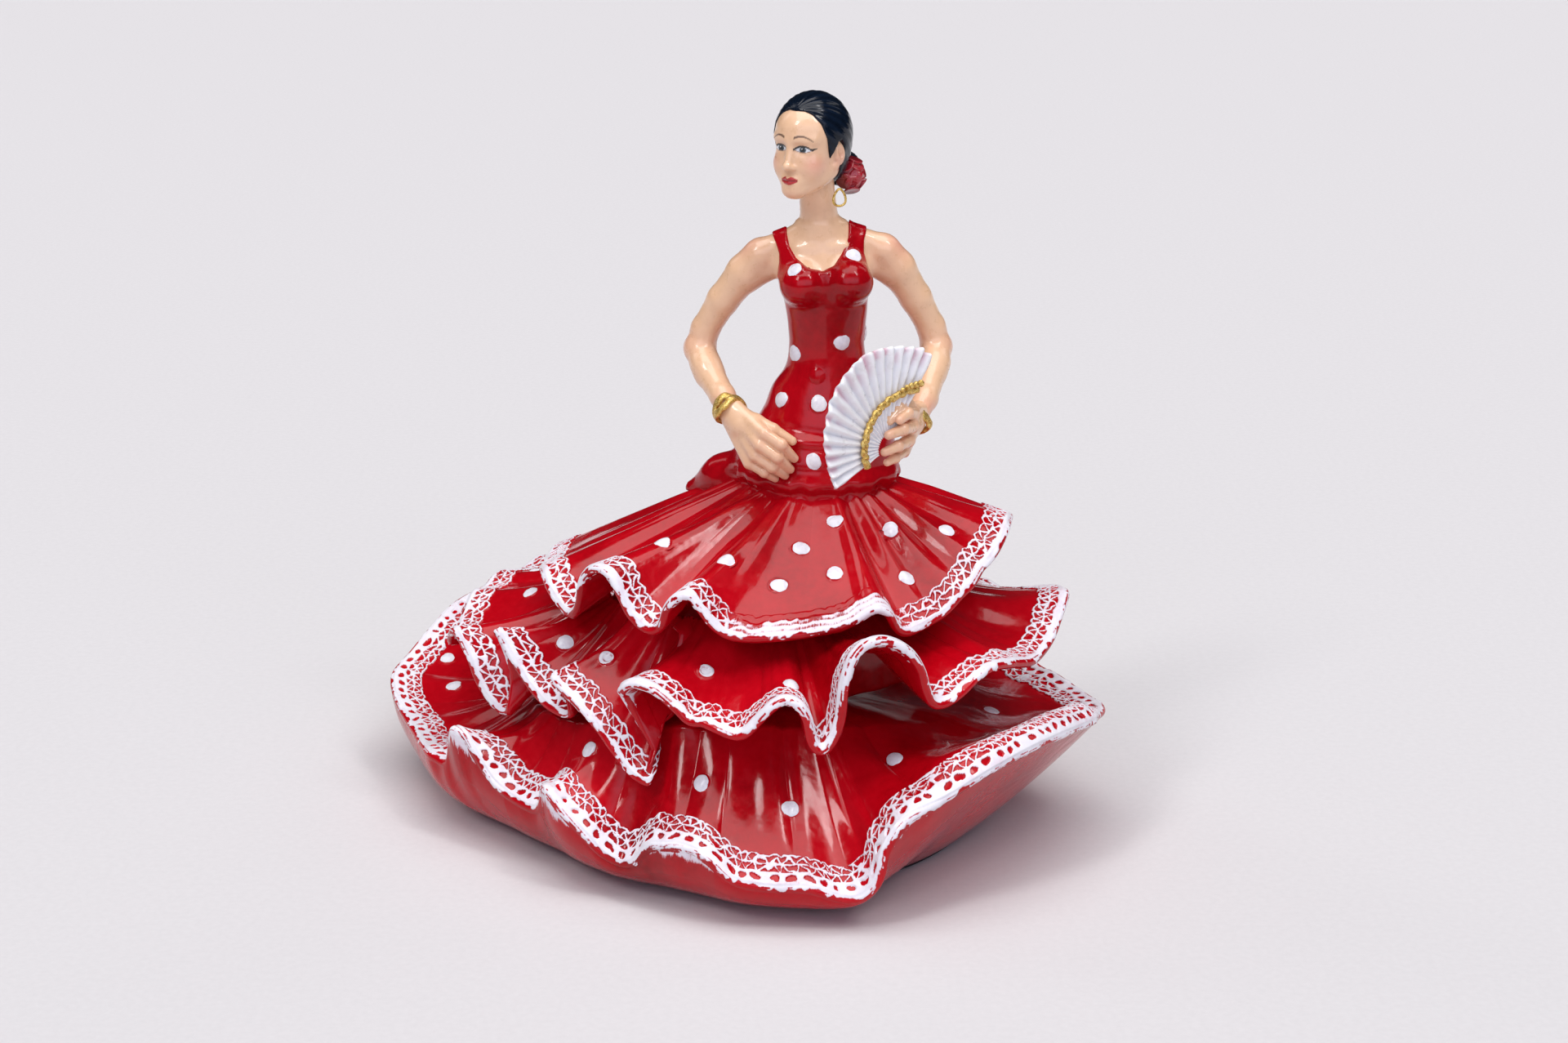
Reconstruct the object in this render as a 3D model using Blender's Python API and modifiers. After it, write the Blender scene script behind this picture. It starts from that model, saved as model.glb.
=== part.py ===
"""Souvenir dancer figurine: a standing figure in a wide three-tier ruffled dress, holding an open fan.
Cast and painted, standing free on a flat pad.  Metres, +Z up, front of the figure towards -Y.
All driving dimensions below are in millimetres; mm() turns them into metres."""
import math

import bmesh
import bpy
import numpy as np
from mathutils import Matrix, Vector

# ---------------------------------------------------------------- driving dimensions, millimetres
GAP = 0.3                      # clearance between neighbouring castings
HEM_SEGMENTS = 88              # divisions round a flounce
CENTRE_X, CENTRE_Y = 0.27, 2.33  # middle of the skirt's plan, moved to the origin

PAD_THICKNESS = 0.8            # felt pad under the base
PAD_SHARE = 0.93               # pad outline as a share of the base's flat underside
FOOT_SHARE = 0.67              # flat underside as a share of the lower hem's plan
RUFFLE_WALL = 2.2              # wall of the middle and upper flounces

# seam of each tier: plan centre x, y, half width, half depth, height at the sides, extra height at the front
SEAM_LOWER = (4.0, 0.0, 50.0, 43.0, 29.0, 8.0)
SEAM_MIDDLE = (8.0, 0.0, 38.0, 32.0, 56.0, 1.0)
SEAM_UPPER = (18.5, 0.5, 19.6, 16.6, 79.0, 0.0)

# hems, read round the figure from the left: bearing in degrees, reach from the hem's centre, height
HEM_LOWER_CENTRE = (0.0, 0.0)
HEM_LOWER = [
    (-180, 72, 18), (-171, 69, 18), (-167, 65, 22), (-162, 63.5, 27), (-157, 60.5, 22), (-150, 57.5, 17),
    (-141, 55, 15.5), (-134, 58, 22.5), (-127, 58, 19), (-120, 57.5, 12), (-113, 57, 10), (-106, 59.5, 16.5),
    (-99, 61.5, 17.5), (-92, 65, 14), (-85, 67, 11), (-77, 69, 11), (-69, 71.5, 8.5), (-65, 73, 15),
    (-60, 74, 25.5), (-54, 75.5, 28.5), (-46, 77, 32), (-36, 78, 33.5), (-25, 80, 32.5), (-14, 82, 30),
    (-4, 82.5, 27), (6, 79, 27), (17, 73, 28), (28, 70, 33), (40, 72, 27), (52, 69, 34), (64, 73, 27),
    (76, 69, 34), (88, 72, 28), (100, 70, 35), (112, 75, 30.5), (118, 77, 33), (124, 80.5, 36), (130, 85, 36),
    (135, 89, 33), (141, 90, 30.5), (148, 89, 27), (156, 89, 23), (164, 84, 20), (172, 77.5, 18)]
HEM_MIDDLE_CENTRE = (0.0, 0.0)
HEM_MIDDLE = [
    (-180, 64.5, 44), (-174, 63, 46.5), (-169, 60.3, 42), (-163, 56, 36), (-160, 55, 45), (-154, 51.6, 42.5),
    (-148, 50.7, 40), (-141, 50.6, 42), (-133, 50.4, 42), (-125, 50.4, 38), (-117, 51, 34), (-112, 52, 45),
    (-106, 53, 48), (-100, 54, 44), (-95, 56, 43), (-88, 58.5, 42), (-82, 60.2, 48), (-77, 61.4, 48.5),
    (-73, 62.2, 41), (-69.5, 63, 45), (-66, 64, 58), (-61, 65.2, 62), (-56, 66.4, 58.5), (-51.5, 67.3, 49),
    (-46, 68.2, 48), (-37, 68.8, 50.5), (-29, 69.5, 48.5), (-20, 70.5, 47), (-10, 72, 50), (-1, 73.5, 54),
    (8, 71, 51), (17, 67, 47), (28, 65, 45.5), (38, 66, 47), (50, 63.5, 42), (62, 65.5, 47), (74, 63, 42),
    (86, 65.5, 47), (98, 64, 42.5), (110, 66, 47), (122, 68, 42), (133, 69.5, 45.5), (142, 67.5, 44.5),
    (151, 66.5, 46.5), (160, 65, 46), (170, 64, 44)]
HEM_UPPER_CENTRE = (9.0, 0.0)
HEM_UPPER = [
    (-180, 52.5, 59.5), (-172, 52.5, 61.5), (-164, 52.7, 62), (-156, 52.5, 59), (-149, 51.5, 58.5), (-144, 50.8, 66),
    (-138, 50, 69.5), (-131, 49, 64), (-124, 48, 59), (-118, 47.4, 65), (-112, 47, 66.8), (-106, 46.5, 60.5),
    (-98, 46, 58.5), (-90, 46, 58.8), (-79, 46.2, 59.8), (-70, 46.8, 61), (-63, 47.3, 63.5), (-56, 48, 58.5),
    (-48, 49.2, 59), (-40, 50.2, 62), (-31, 51.4, 67.3), (-20, 52.6, 72.3), (-11, 52.2, 73.4), (0, 51.5, 71.5),
    (12, 50.3, 67.5), (24, 48.8, 63.5), (36, 48, 58), (50, 47, 61), (64, 48, 55.5), (78, 47, 59.5), (92, 49.5, 55),
    (106, 50.5, 58.5), (120, 53, 54.5), (134, 55, 57), (148, 55, 56), (160, 54, 58), (171, 52.8, 58.5)]

# hidden core that the two upper flounces are glued on: height, centre x, y, half width, half depth
CORE = [(38.0, 5.0, 0, 38.5, 33.0), (46.0, 6.5, 0, 37.0, 31.5), (52.0, 8.0, 0, 35.6, 29.6),
        (62.0, 11.5, 0, 30.0, 25.0), (70.0, 15.5, 0, 22.0, 18.0), (76.5, 17.5, 0.4, 16.0, 13.2)]

# dress body, hip to neckline: height, centre x, y, half width, half depth
DRESS = [(79.4, 19.0, 0.5, 16.6, 13.6), (80.6, 19.0, 0.5, 18.3, 15.0), (84.0, 19.1, 0.6, 18.6, 15.4),
         (88.0, 19.6, 0.8, 17.2, 14.2), (92.0, 20.0, 1.0, 15.3, 12.6), (96.0, 20.2, 1.1, 13.3, 10.8),
         (101.0, 20.3, 1.2, 11.2, 9.0), (106.0, 20.3, 1.2, 9.1, 7.6), (110.0, 20.3, 1.0, 8.1, 7.0),
         (114.0, 20.3, 0.6, 8.2, 7.1), (118.0, 20.1, 0.0, 8.9, 7.9), (121.5, 19.8, -0.8, 10.0, 9.2),
         (124.0, 19.6, -0.8, 10.5, 9.0), (127.0, 19.6, 0.0, 10.6, 7.6)]

# chest, shoulders and neck above the neckline
CHEST = [(127.4, 19.6, 0.3, 10.2, 7.0), (129.5, 19.2, 1.0, 11.0, 6.2), (131.5, 19.0, 1.6, 11.4, 5.4),
         (133.5, 18.9, 1.8, 9.0, 4.8), (135.5, 18.8, 1.6, 5.8, 4.3), (138.0, 18.6, 1.2, 4.2, 4.0),
         (140.0, 18.4, 0.8, 3.9, 3.8), (142.0, 18.3, 0.4, 3.9, 3.9)]

# limbs: centre line points with their radius, millimetres
ARM_RIGHT = [((4.6, 3.0, 131.2), 3.6), ((0.8, 4.0, 127.0), 3.4), ((-3.4, 6.0, 119.0), 3.0), ((-7.0, 8.0, 112.0), 3.1),
             ((-8.0, 7.6, 107.0), 3.5), ((-5.5, 2.0, 102.5), 3.4), ((-2.2, -4.0, 98.5), 2.8), ((-0.6, -7.0, 96.8), 2.6)]
ARM_LEFT = [((33.6, 3.0, 131.4), 3.6), ((36.0, 4.0, 127.4), 3.4), ((39.8, 6.0, 119.0), 3.0), ((43.2, 8.0, 112.5), 3.1),
            ((44.6, 7.8, 107.5), 3.5), ((43.6, 2.0, 103.5), 3.3), ((41.4, -5.0, 99.8), 2.7), ((40.4, -8.0, 98.4), 2.5)]
WRIST_GAP = 0.5                # between a forearm and its hand
HAND_RIGHT = ((5.2, -16.6, 93.4), (10.6, 4.3, 2.7))    # middle, half length, half width, half thickness
HAND_LEFT = ((38.2, -16.0, 95.2), (7.0, 4.6, 3.2))
BANGLE_WIRE = 0.55             # wire radius
FAN_PIVOT = (32.8, -24.0, 93.3)
FAN_REACH, FAN_SHRINK = 22.6, 5.4   # pivot to rim, and how much shorter the lowest pleats are
FAN_BAND_FROM, FAN_BAND_TO = 13.6, 8.4   # pivot to band, at the top pleat and at the lowest
FAN_FROM, FAN_TO = 53.0, 201.0  # opening in degrees, from the wearer's left, anticlockwise seen from the front
FAN_PLEATS = 18
FAN_TURN = 44.0                # leaf turned so that its free side comes forward

HEAD = ((17.4, -1.2, 154.2), (7.3, 8.7, 10.9))         # middle, half width, half depth, half height
HEAD_TURN, HEAD_TIP = -33.0, 4.0                       # turned to the figure's right, tipped back a little
HAIR_WALL = 1.1
BUN = ((23.6, 8.0, 147.6), 4.0)
FLOWER = ((26.9, 5.6, 146.8), 4.2)

ROD_RADIUS, ROD_BOTTOM, ROD_TOP = 1.6, 62.0, 119.0     # armature rod, core to bodice
NECK_PIN_RADIUS, NECK_PIN_BOTTOM, NECK_PIN_TOP = 1.0, 135.0, 150.0

RED, SKIN, BLACK_HAIR = (0.52, 0.004, 0.012), (0.78, 0.50, 0.33), (0.010, 0.013, 0.020)
GOLD, WHITE, STEEL, FELT = (0.50, 0.33, 0.10), (0.83, 0.84, 0.86), (0.45, 0.45, 0.47), (0.02, 0.02, 0.022)


def mm(*p):
    return Vector(p) * 0.001


# ---------------------------------------------------------------- scene and collections
for old in list(bpy.data.objects):
    bpy.data.objects.remove(old, do_unlink=True)
figure = bpy.data.collections.new("dancer_figurine")
cutters = bpy.data.collections.new("cutters")
bpy.context.scene.collection.children.link(figure)
bpy.context.scene.collection.children.link(cutters)
origin = bpy.data.objects.new("figurine_origin", None)
origin.location = mm(-CENTRE_X, -CENTRE_Y, 0)
figure.objects.link(origin)


def material(name, colour, rough, metal=0.0, coat=0.0):
    m = bpy.data.materials.new(name)
    m.use_nodes = True
    b = m.node_tree.nodes["Principled BSDF"]
    b.inputs["Base Color"].default_value = (*colour, 1)
    b.inputs["Roughness"].default_value = rough
    b.inputs["Metallic"].default_value = metal
    b.inputs["Coat Weight"].default_value = coat
    m.diffuse_color = (*colour, 1)
    return m


def add(name, data, mat, where=figure):
    o = bpy.data.objects.new(name, data)
    where.objects.link(o)
    o.parent = origin
    if where is figure:
        data.materials.append(material(name + "_finish", *mat))
    return o


def mesh_of(bm, name, smooth=True):
    bmesh.ops.recalc_face_normals(bm, faces=bm.faces)
    me = bpy.data.meshes.new(name)
    bm.to_mesh(me)
    bm.free()
    if smooth:
        me.shade_smooth()
        me.set_sharp_from_angle(angle=math.radians(50))
    return me


def ring_body(n, rows, place, closed=True):
    """A tube of n sides and the given rows, each vertex moved by place(bearing, share of the height)."""
    bm = bmesh.new()
    bmesh.ops.create_cone(bm, cap_ends=closed, segments=n, radius1=1, radius2=1, depth=1)
    upright = [e for e in bm.edges if abs(e.verts[0].co.z - e.verts[1].co.z) > 0.5]
    bmesh.ops.subdivide_edges(bm, edges=upright, cuts=rows - 1, use_grid_fill=True)
    for v in bm.verts:
        v.co = mm(*place(math.atan2(v.co.y, v.co.x), v.co.z + 0.5))
    return bm


def cutter(name, bm):
    o = bpy.data.objects.new(name, mesh_of(bm, name, smooth=False))
    cutters.objects.link(o)
    o.parent = origin
    o.hide_render = True
    o.display_type = "WIRE"
    return o


def bore(target, name, x, y, radius, bottom, top):
    bm = bmesh.new()
    bmesh.ops.create_cone(bm, cap_ends=True, segments=16, radius1=radius * 0.001, radius2=radius * 0.001, depth=(top - bottom) * 0.001)
    bmesh.ops.translate(bm, verts=bm.verts, vec=mm(x, y, (top + bottom) / 2))
    tool = cutter(name, bm)
    cut = target.modifiers.new(name, "BOOLEAN")
    cut.operation, cut.solver, cut.object = "DIFFERENCE", "EXACT", tool


def sections(table):
    """Smooth elliptical section through a table of (height, x, y, half width, half depth)."""
    rows = np.array(table, float)
    fine = np.linspace(0, len(rows) - 1, 200)
    idx = np.arange(len(rows))
    cols = [np.interp(fine, idx, rows[:, k]) for k in range(5)]

    def place(bearing, share):
        k = share * (len(rows) - 1)
        z, x, y, a, b = (np.interp(k, fine, c) for c in cols)
        return x + a * math.cos(bearing), y + b * math.sin(bearing), z
    return place


# ---------------------------------------------------------------- flounces
def hem_curve(table, centre):
    """Reach and height of a hem at any bearing: a closed cubic through the table, and the same curve evened out."""
    t = np.array(table, float)

    def cubic(bearing, column):
        deg = math.degrees(bearing)
        k = int(np.searchsorted(t[:, 0], deg, side="right")) - 1
        n = len(t)
        i = [(k - 1) % n, k % n, (k + 1) % n, (k + 2) % n]
        a = [t[j, 0] for j in i]
        for m in (1, 2, 3):
            while a[m] < a[m - 1] - 1e-9:
                a[m] += 360
        while a[1] > deg + 1e-9:
            a = [v - 360 for v in a]
        u = (deg - a[1]) / (a[2] - a[1])
        p = [t[j, column] for j in i]
        m1 = (p[2] - p[0]) / (a[2] - a[0]) * (a[2] - a[1])
        m2 = (p[3] - p[1]) / (a[3] - a[1]) * (a[2] - a[1])
        return ((2 * u**3 - 3 * u**2 + 1) * p[1] + (u**3 - 2 * u**2 + u) * m1
                + (-2 * u**3 + 3 * u**2) * p[2] + (u**3 - u**2) * m2)

    def even(bearing, column, spread=28, steps=9):
        total = weight = 0.0
        for q in range(-steps, steps + 1):
            b = bearing + math.radians(spread) * q / steps
            b = (b + math.pi) % (2 * math.pi) - math.pi
            w = 1 - abs(q) / (steps + 1)
            total, weight = total + w * cubic(b, column), weight + w
        return total / weight

    def hem(bearing):
        r, z = cubic(bearing, 1), cubic(bearing, 2)
        return centre[0] + r * math.cos(bearing), centre[1] + r * math.sin(bearing), z, even(bearing, 2)
    return hem


def seam_point(seam, bearing):
    x, y, a, b, z, front = seam
    return x + a * math.cos(bearing), y + b * math.sin(bearing), z + front * max(0.0, -math.sin(bearing)) ** 2


def drape(seam, hem, bearing, share, sag, power=1.4):
    """Point of a flounce between its seam (share 0) and its hem (share 1)."""
    sx, sy, sz = seam_point(seam, bearing)
    hx, hy, hz, mean = hem(bearing)
    share = min(1.0, max(0.0, share))
    z = sz + (mean - sz) * share + (hz - mean) * share**power - sag * 4 * share * (1 - share)
    return sx + (hx - sx) * share, sy + (hy - sy) * share, z


hem_lower = hem_curve(HEM_LOWER, HEM_LOWER_CENTRE)
hem_middle = hem_curve(HEM_MIDDLE, HEM_MIDDLE_CENTRE)
hem_upper = hem_curve(HEM_UPPER, HEM_UPPER_CENTRE)


def foot_point(bearing):
    hx, hy, hz, mean = hem_lower(bearing)
    return 1.0 + (hx - 1.0) * FOOT_SHARE, 1.0 + (hy - 1.0) * FOOT_SHARE


def straightness(bearing):
    """The bowl runs nearly straight from foot to hem on the figure's left, and bellies out elsewhere."""
    away = abs((bearing + math.pi) % (2 * math.pi) - math.pi)
    return 0.8 * min(1.0, max(0.0, (1.3 - away) / 0.6))


def base_place(bearing, share):
    """Solid base: flat underside, bowl up to the lower hem, then in along the lower flounce to its seam."""
    rows_bowl, rows_top = 4, 5
    k = share * (rows_bowl + rows_top + 1)
    hx, hy, hz, mean = hem_lower(bearing)
    fx, fy = foot_point(bearing)
    if k <= rows_bowl + 1e-6:
        u = k / rows_bowl
        w = straightness(bearing)
        out = (1 - w) * max(0.0, math.sin(0.5 * math.pi * u)) ** 0.9 + w * u
        up = (1 - w) * max(0.0, 1 - math.cos(0.5 * math.pi * u)) ** 0.8 + w * u
        return fx + (hx - fx) * out, fy + (hy - fy) * out, PAD_THICKNESS + 0.2 + (hz - PAD_THICKNESS - 0.2) * up
    if k <= rows_bowl + rows_top + 1e-6:
        u = 1 - (k - rows_bowl) / rows_top
        return drape(SEAM_LOWER, hem_lower, bearing, u, 3.0)
    x, y, a, b, z, front = SEAM_LOWER
    return x + (a - 12) * math.cos(bearing), y + (b - 11) * math.sin(bearing), z + 7.5


base = add("skirt_base", mesh_of(ring_body(HEM_SEGMENTS, 10, base_place), "skirt_base"), (RED, 0.18, 0.0, 0.6))


def pad_place(bearing, share):
    fx, fy = foot_point(bearing)
    return 1.0 + (fx - 1.0) * PAD_SHARE, 1.0 + (fy - 1.0) * PAD_SHARE, share * (PAD_THICKNESS - GAP + 0.2)


pad = add("felt_pad", mesh_of(ring_body(44, 1, pad_place), "felt_pad", smooth=False), (FELT, 0.95))


def flounce(name, seam, hem, rows, sag):
    bm = ring_body(HEM_SEGMENTS, rows, lambda bearing, share: drape(seam, hem, bearing, 1 - share, sag), closed=False)
    me = bpy.data.meshes.new(name)
    bm.to_mesh(me)
    bm.free()
    me.shade_smooth()
    o = add(name, me, (RED, 0.18, 0.0, 0.6))
    wall = o.modifiers.new("wall", "SOLIDIFY")
    wall.thickness, wall.offset, wall.use_even_offset = RUFFLE_WALL * 0.001, -1.0, False
    return o


flounce("flounce_middle", SEAM_MIDDLE, hem_middle, 4, 2.0)
flounce("flounce_upper", SEAM_UPPER, hem_upper, 4, 0.5)

core = add("skirt_core", mesh_of(ring_body(36, len(CORE) - 1, sections(CORE)), "skirt_core"), (RED, 0.3))
bore(core, "core_bore", 20.2, 1.0, ROD_RADIUS + GAP, ROD_BOTTOM - GAP, 90.0)

# ---------------------------------------------------------------- figure
dress = add("dress_body", mesh_of(ring_body(28, len(DRESS) - 1, sections(DRESS)), "dress_body"), (RED, 0.18, 0.0, 0.6))
bore(dress, "dress_bore", 20.2, 1.0, ROD_RADIUS + GAP, 70.0, ROD_TOP + GAP)
bm = bmesh.new()
bmesh.ops.create_cone(bm, cap_ends=True, segments=12, radius1=ROD_RADIUS * 0.001, radius2=ROD_RADIUS * 0.001, depth=(ROD_TOP - ROD_BOTTOM) * 0.001)
bmesh.ops.translate(bm, verts=bm.verts, vec=mm(20.2, 1.0, (ROD_TOP + ROD_BOTTOM) / 2))
add("armature_rod", mesh_of(bm, "armature_rod"), (STEEL, 0.35, 1.0))

chest = add("chest_and_neck", mesh_of(ring_body(24, len(CHEST) - 1, sections(CHEST)), "chest_and_neck"), (SKIN, 0.35))
bore(chest, "chest_bore", 18.3, 0.6, NECK_PIN_RADIUS + GAP, NECK_PIN_BOTTOM - GAP, 145.0)
bm = bmesh.new()
bmesh.ops.create_cone(bm, cap_ends=True, segments=12, radius1=NECK_PIN_RADIUS * 0.001, radius2=NECK_PIN_RADIUS * 0.001, depth=(NECK_PIN_TOP - NECK_PIN_BOTTOM) * 0.001)
bmesh.ops.translate(bm, verts=bm.verts, vec=mm(18.3, 0.6, (NECK_PIN_TOP + NECK_PIN_BOTTOM) / 2))
add("neck_pin", mesh_of(bm, "neck_pin"), (STEEL, 0.35, 1.0))

turn = Matrix.Rotation(math.radians(HEAD_TURN), 4, "Z") @ Matrix.Rotation(math.radians(HEAD_TIP), 4, "X")


def head_form(swell):
    """Egg-shaped head, narrower at the chin, grown outwards by swell."""
    bm = bmesh.new()
    bmesh.ops.create_uvsphere(bm, u_segments=20, v_segments=12, radius=1.0)
    (x, y, z), (a, b, c) = HEAD
    for v in bm.verts:
        d = v.co.copy()
        low = max(0.0, -d.z)
        w, f = 1 - 0.30 * low**1.5, 1 - 0.16 * low**1.5
        p = Vector(((a + swell) * d.x * w, (b + swell) * d.y * f - 1.0 * low, (c + swell) * d.z))
        v.co = (Matrix.Translation(Vector((x, y, z))) @ turn @ p) * 0.001
    return bm


head = add("head", mesh_of(head_form(0.0), "head"), (SKIN, 0.35))
bore(head, "head_bore", 18.3, 0.6, NECK_PIN_RADIUS + GAP, 138.0, NECK_PIN_TOP + GAP)

# hair: the head's form grown outwards, its face side cut away, then given a wall
bm = head_form(GAP + 0.35)
face_cut = (turn @ Vector((0, -0.80, -0.60))).normalized()
bmesh.ops.bisect_plane(bm, geom=bm.verts[:] + bm.edges[:] + bm.faces[:], plane_co=mm(*HEAD[0]) + (turn @ mm(0, -2.8, 1.6)), plane_no=face_cut, clear_outer=True)
bmesh.ops.recalc_face_normals(bm, faces=bm.faces)
me = bpy.data.meshes.new("hair_cap")
bm.to_mesh(me)
bm.free()
me.shade_smooth()
hair = add("hair_cap", me, (BLACK_HAIR, 0.25))
wall = hair.modifiers.new("wall", "SOLIDIFY")
wall.thickness, wall.offset, wall.use_even_offset = HAIR_WALL * 0.001, 1.0, False


def ball(name, centre, radii, rotation, mat, u=14, v=9, ripple=0.0, lobes=5):
    bm = bmesh.new()
    bmesh.ops.create_uvsphere(bm, u_segments=u, v_segments=v, radius=1.0)
    for q in bm.verts:
        swell = 1 + ripple * math.cos(lobes * math.atan2(q.co.y, q.co.x)) * (1 - q.co.z**2)
        p = rotation @ Vector((q.co.x * radii[0] * swell, q.co.y * radii[1] * swell, q.co.z * radii[2]))
        q.co = mm(*(Vector(centre) + p))
    return add(name, mesh_of(bm, name), mat)


# the bun sits behind the hair and the flower beside it; both are cut back to clear the hair
(hx, hy, hz) = HEAD[0]
bun = ball("hair_bun", BUN[0], (4.2, 3.4, 4.0), Matrix.Rotation(math.radians(HEAD_TURN), 3, "Z"), (BLACK_HAIR, 0.25))
flower = ball("hair_flower", FLOWER[0], (3.4, 3.4, 4.2), Matrix.Rotation(math.radians(20), 3, "Y"), (RED, 0.2, 0.0, 0.5), ripple=0.12)
hair_clear = cutter("hair_clearance", head_form(GAP + 0.35 + HAIR_WALL + GAP))
cut = bun.modifiers.new("hair_clearance", "BOOLEAN")
cut.operation, cut.solver, cut.object = "DIFFERENCE", "EXACT", hair_clear
bm = bmesh.new()
bmesh.ops.create_uvsphere(bm, u_segments=14, v_segments=9, radius=1.0)
for q in bm.verts:
    q.co = mm(*(Vector(BUN[0]) + Matrix.Rotation(math.radians(HEAD_TURN), 3, "Z") @ Vector((q.co.x * 4.6, q.co.y * 3.8, q.co.z * 4.4))))
bun_clear = cutter("bun_clearance", bm)
for tool in (hair_clear, bun_clear):
    cut = flower.modifiers.new(tool.name, "BOOLEAN")
    cut.operation, cut.solver, cut.object = "DIFFERENCE", "EXACT", tool


# ---------------------------------------------------------------- limbs
def limb(name, points, mat, resolution=2):
    """A tapering limb: a curve with a round bevel, a radius at each point and filled ends, made a mesh."""
    cu = bpy.data.curves.new(name, "CURVE")
    cu.dimensions, cu.bevel_depth, cu.bevel_resolution, cu.use_fill_caps = "3D", 0.001, 3, True
    sp = cu.splines.new("NURBS")
    sp.points.add(len(points) - 1)
    for q, (p, r) in zip(sp.points, points):
        q.co, q.radius = (*mm(*p), 1.0), r
    sp.order_u, sp.use_endpoint_u, sp.resolution_u = 4, True, resolution
    guide = bpy.data.objects.new(name + "_line", cu)
    cutters.objects.link(guide)
    bpy.context.view_layer.update()
    me = bpy.data.meshes.new_from_object(guide.evaluated_get(bpy.context.evaluated_depsgraph_get()))
    bpy.data.objects.remove(guide, do_unlink=True)
    bm = bmesh.new()
    bm.from_mesh(me)
    bmesh.ops.remove_doubles(bm, verts=bm.verts, dist=1e-6)
    me.name = name + "_raw"
    return add(name, mesh_of(bm, name), mat)


limb("arm_right", ARM_RIGHT, (SKIN, 0.35))
limb("arm_left", ARM_LEFT, (SKIN, 0.35))


def hand(name, shape, along, flat, curl):
    """A closed mitten of a hand: a flattened form along its fingers, curled towards the palm."""
    centre, (a, b, c) = shape
    x = Vector(along).normalized()
    z = (Vector(flat) - Vector(flat).dot(x) * x).normalized()
    y = z.cross(x)
    bm = bmesh.new()
    bmesh.ops.create_uvsphere(bm, u_segments=14, v_segments=10, radius=1.0)
    bmesh.ops.rotate(bm, verts=bm.verts, matrix=Matrix.Rotation(math.radians(90), 3, "Y"))
    for q in bm.verts:
        u = q.co.x
        width = b * (1 - 0.25 * max(0.0, u) ** 2) * (1 - 0.35 * max(0.0, -u) ** 2)
        bend = -curl * max(0.0, u + 0.2) ** 2
        q.co = mm(*(Vector(centre) + x * (a * u) + y * (width * q.co.y) + z * (c * q.co.z * (1 - 0.3 * max(0.0, u)) + bend)))
    return add(name, mesh_of(bm, name), (SKIN, 0.35))


hand("hand_right", HAND_RIGHT, (0.86, -0.30, -0.62), (-0.20, -0.95, 0.10), 1.6)
hand("hand_left", HAND_LEFT, (-0.35, -0.70, -0.45), (0.75, -0.55, 0.35), 0.6)


def bangle(name, centre, axis, radius, squash, wobble):
    """A round bracelet wire, a little oval."""
    n = Vector(axis).normalized()
    u = n.orthogonal().normalized()
    w = n.cross(u)
    cu = bpy.data.curves.new(name, "CURVE")
    cu.dimensions, cu.bevel_depth, cu.bevel_resolution = "3D", BANGLE_WIRE * 0.001, 1
    sp = cu.splines.new("POLY")
    count = 20
    sp.points.add(count - 1)
    for k, q in enumerate(sp.points):
        a = 2 * math.pi * k / count
        p = Vector(centre) + u * radius * math.cos(a) + w * radius * squash * math.sin(a) + n * wobble * math.sin(2 * a)
        q.co = (*mm(*p), 1.0)
    sp.use_cyclic_u = True
    guide = bpy.data.objects.new(name + "_line", cu)
    cutters.objects.link(guide)
    bpy.context.view_layer.update()
    me = bpy.data.meshes.new_from_object(guide.evaluated_get(bpy.context.evaluated_depsgraph_get()))
    bpy.data.objects.remove(guide, do_unlink=True)
    bm = bmesh.new()
    bm.from_mesh(me)
    bmesh.ops.remove_doubles(bm, verts=bm.verts, dist=1e-6)
    me.name = name + "_raw"
    return add(name, mesh_of(bm, name), (GOLD, 0.3, 1.0))


bangle("bangle_right_upper", (-3.1, -2.4, 99.6), (0.42, -0.72, -0.50), 4.0, 1.0, 0.1)
bangle("bangle_right_lower", (-1.6, -5.0, 97.9), (0.42, -0.72, -0.50), 3.8, 1.0, -0.1)
bangle("bangle_left", (41.9, -3.6, 100.4), (-0.28, -0.86, -0.40), 3.9, 1.0, 0.1)

# ---------------------------------------------------------------- fan
fan_frame = Matrix.Translation(mm(*FAN_PIVOT)) @ Matrix.Rotation(math.radians(FAN_TURN), 4, "Z")


def fan_reach(share):
    """Pivot to rim: the lowest pleats are shorter."""
    return FAN_REACH - FAN_SHRINK * max(0.0, (share - 0.5) / 0.5) ** 1.3


def band_reach(share):
    return FAN_BAND_FROM + (FAN_BAND_TO - FAN_BAND_FROM) * share


def fan_sheet(name, inner, outer, rows, depth, wall, mat, scallop=0.0, lift=0.0):
    """A pleated sector in the fan's own plane: x to the right, z up, front towards -y."""
    bm = bmesh.new()
    bmesh.ops.create_grid(bm, x_segments=FAN_PLEATS * 2, y_segments=rows, size=0.5)
    for v in bm.verts:
        k = (v.co.x + 0.5) * FAN_PLEATS * 2
        a = math.radians(FAN_FROM + (FAN_TO - FAN_FROM) * (v.co.x + 0.5))
        s = v.co.y + 0.5
        crest = 1.0 if int(round(k)) % 2 else 0.0
        lo, hi = inner(v.co.x + 0.5), outer(v.co.x + 0.5)
        r = lo + (hi - lo) * s + scallop * crest * max(0.0, s - 0.8) / 0.2
        v.co = fan_frame @ mm(r * math.cos(a), -lift - depth * crest * (0.35 + 0.65 * s), r * math.sin(a))
    bmesh.ops.recalc_face_normals(bm, faces=bm.faces)
    me = bpy.data.meshes.new(name)
    bm.to_mesh(me)
    bm.free()
    o = add(name, me, mat)
    m = o.modifiers.new("wall", "SOLIDIFY")
    m.thickness, m.offset, m.use_even_offset = wall * 0.001, 0.0, False
    return o


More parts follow.
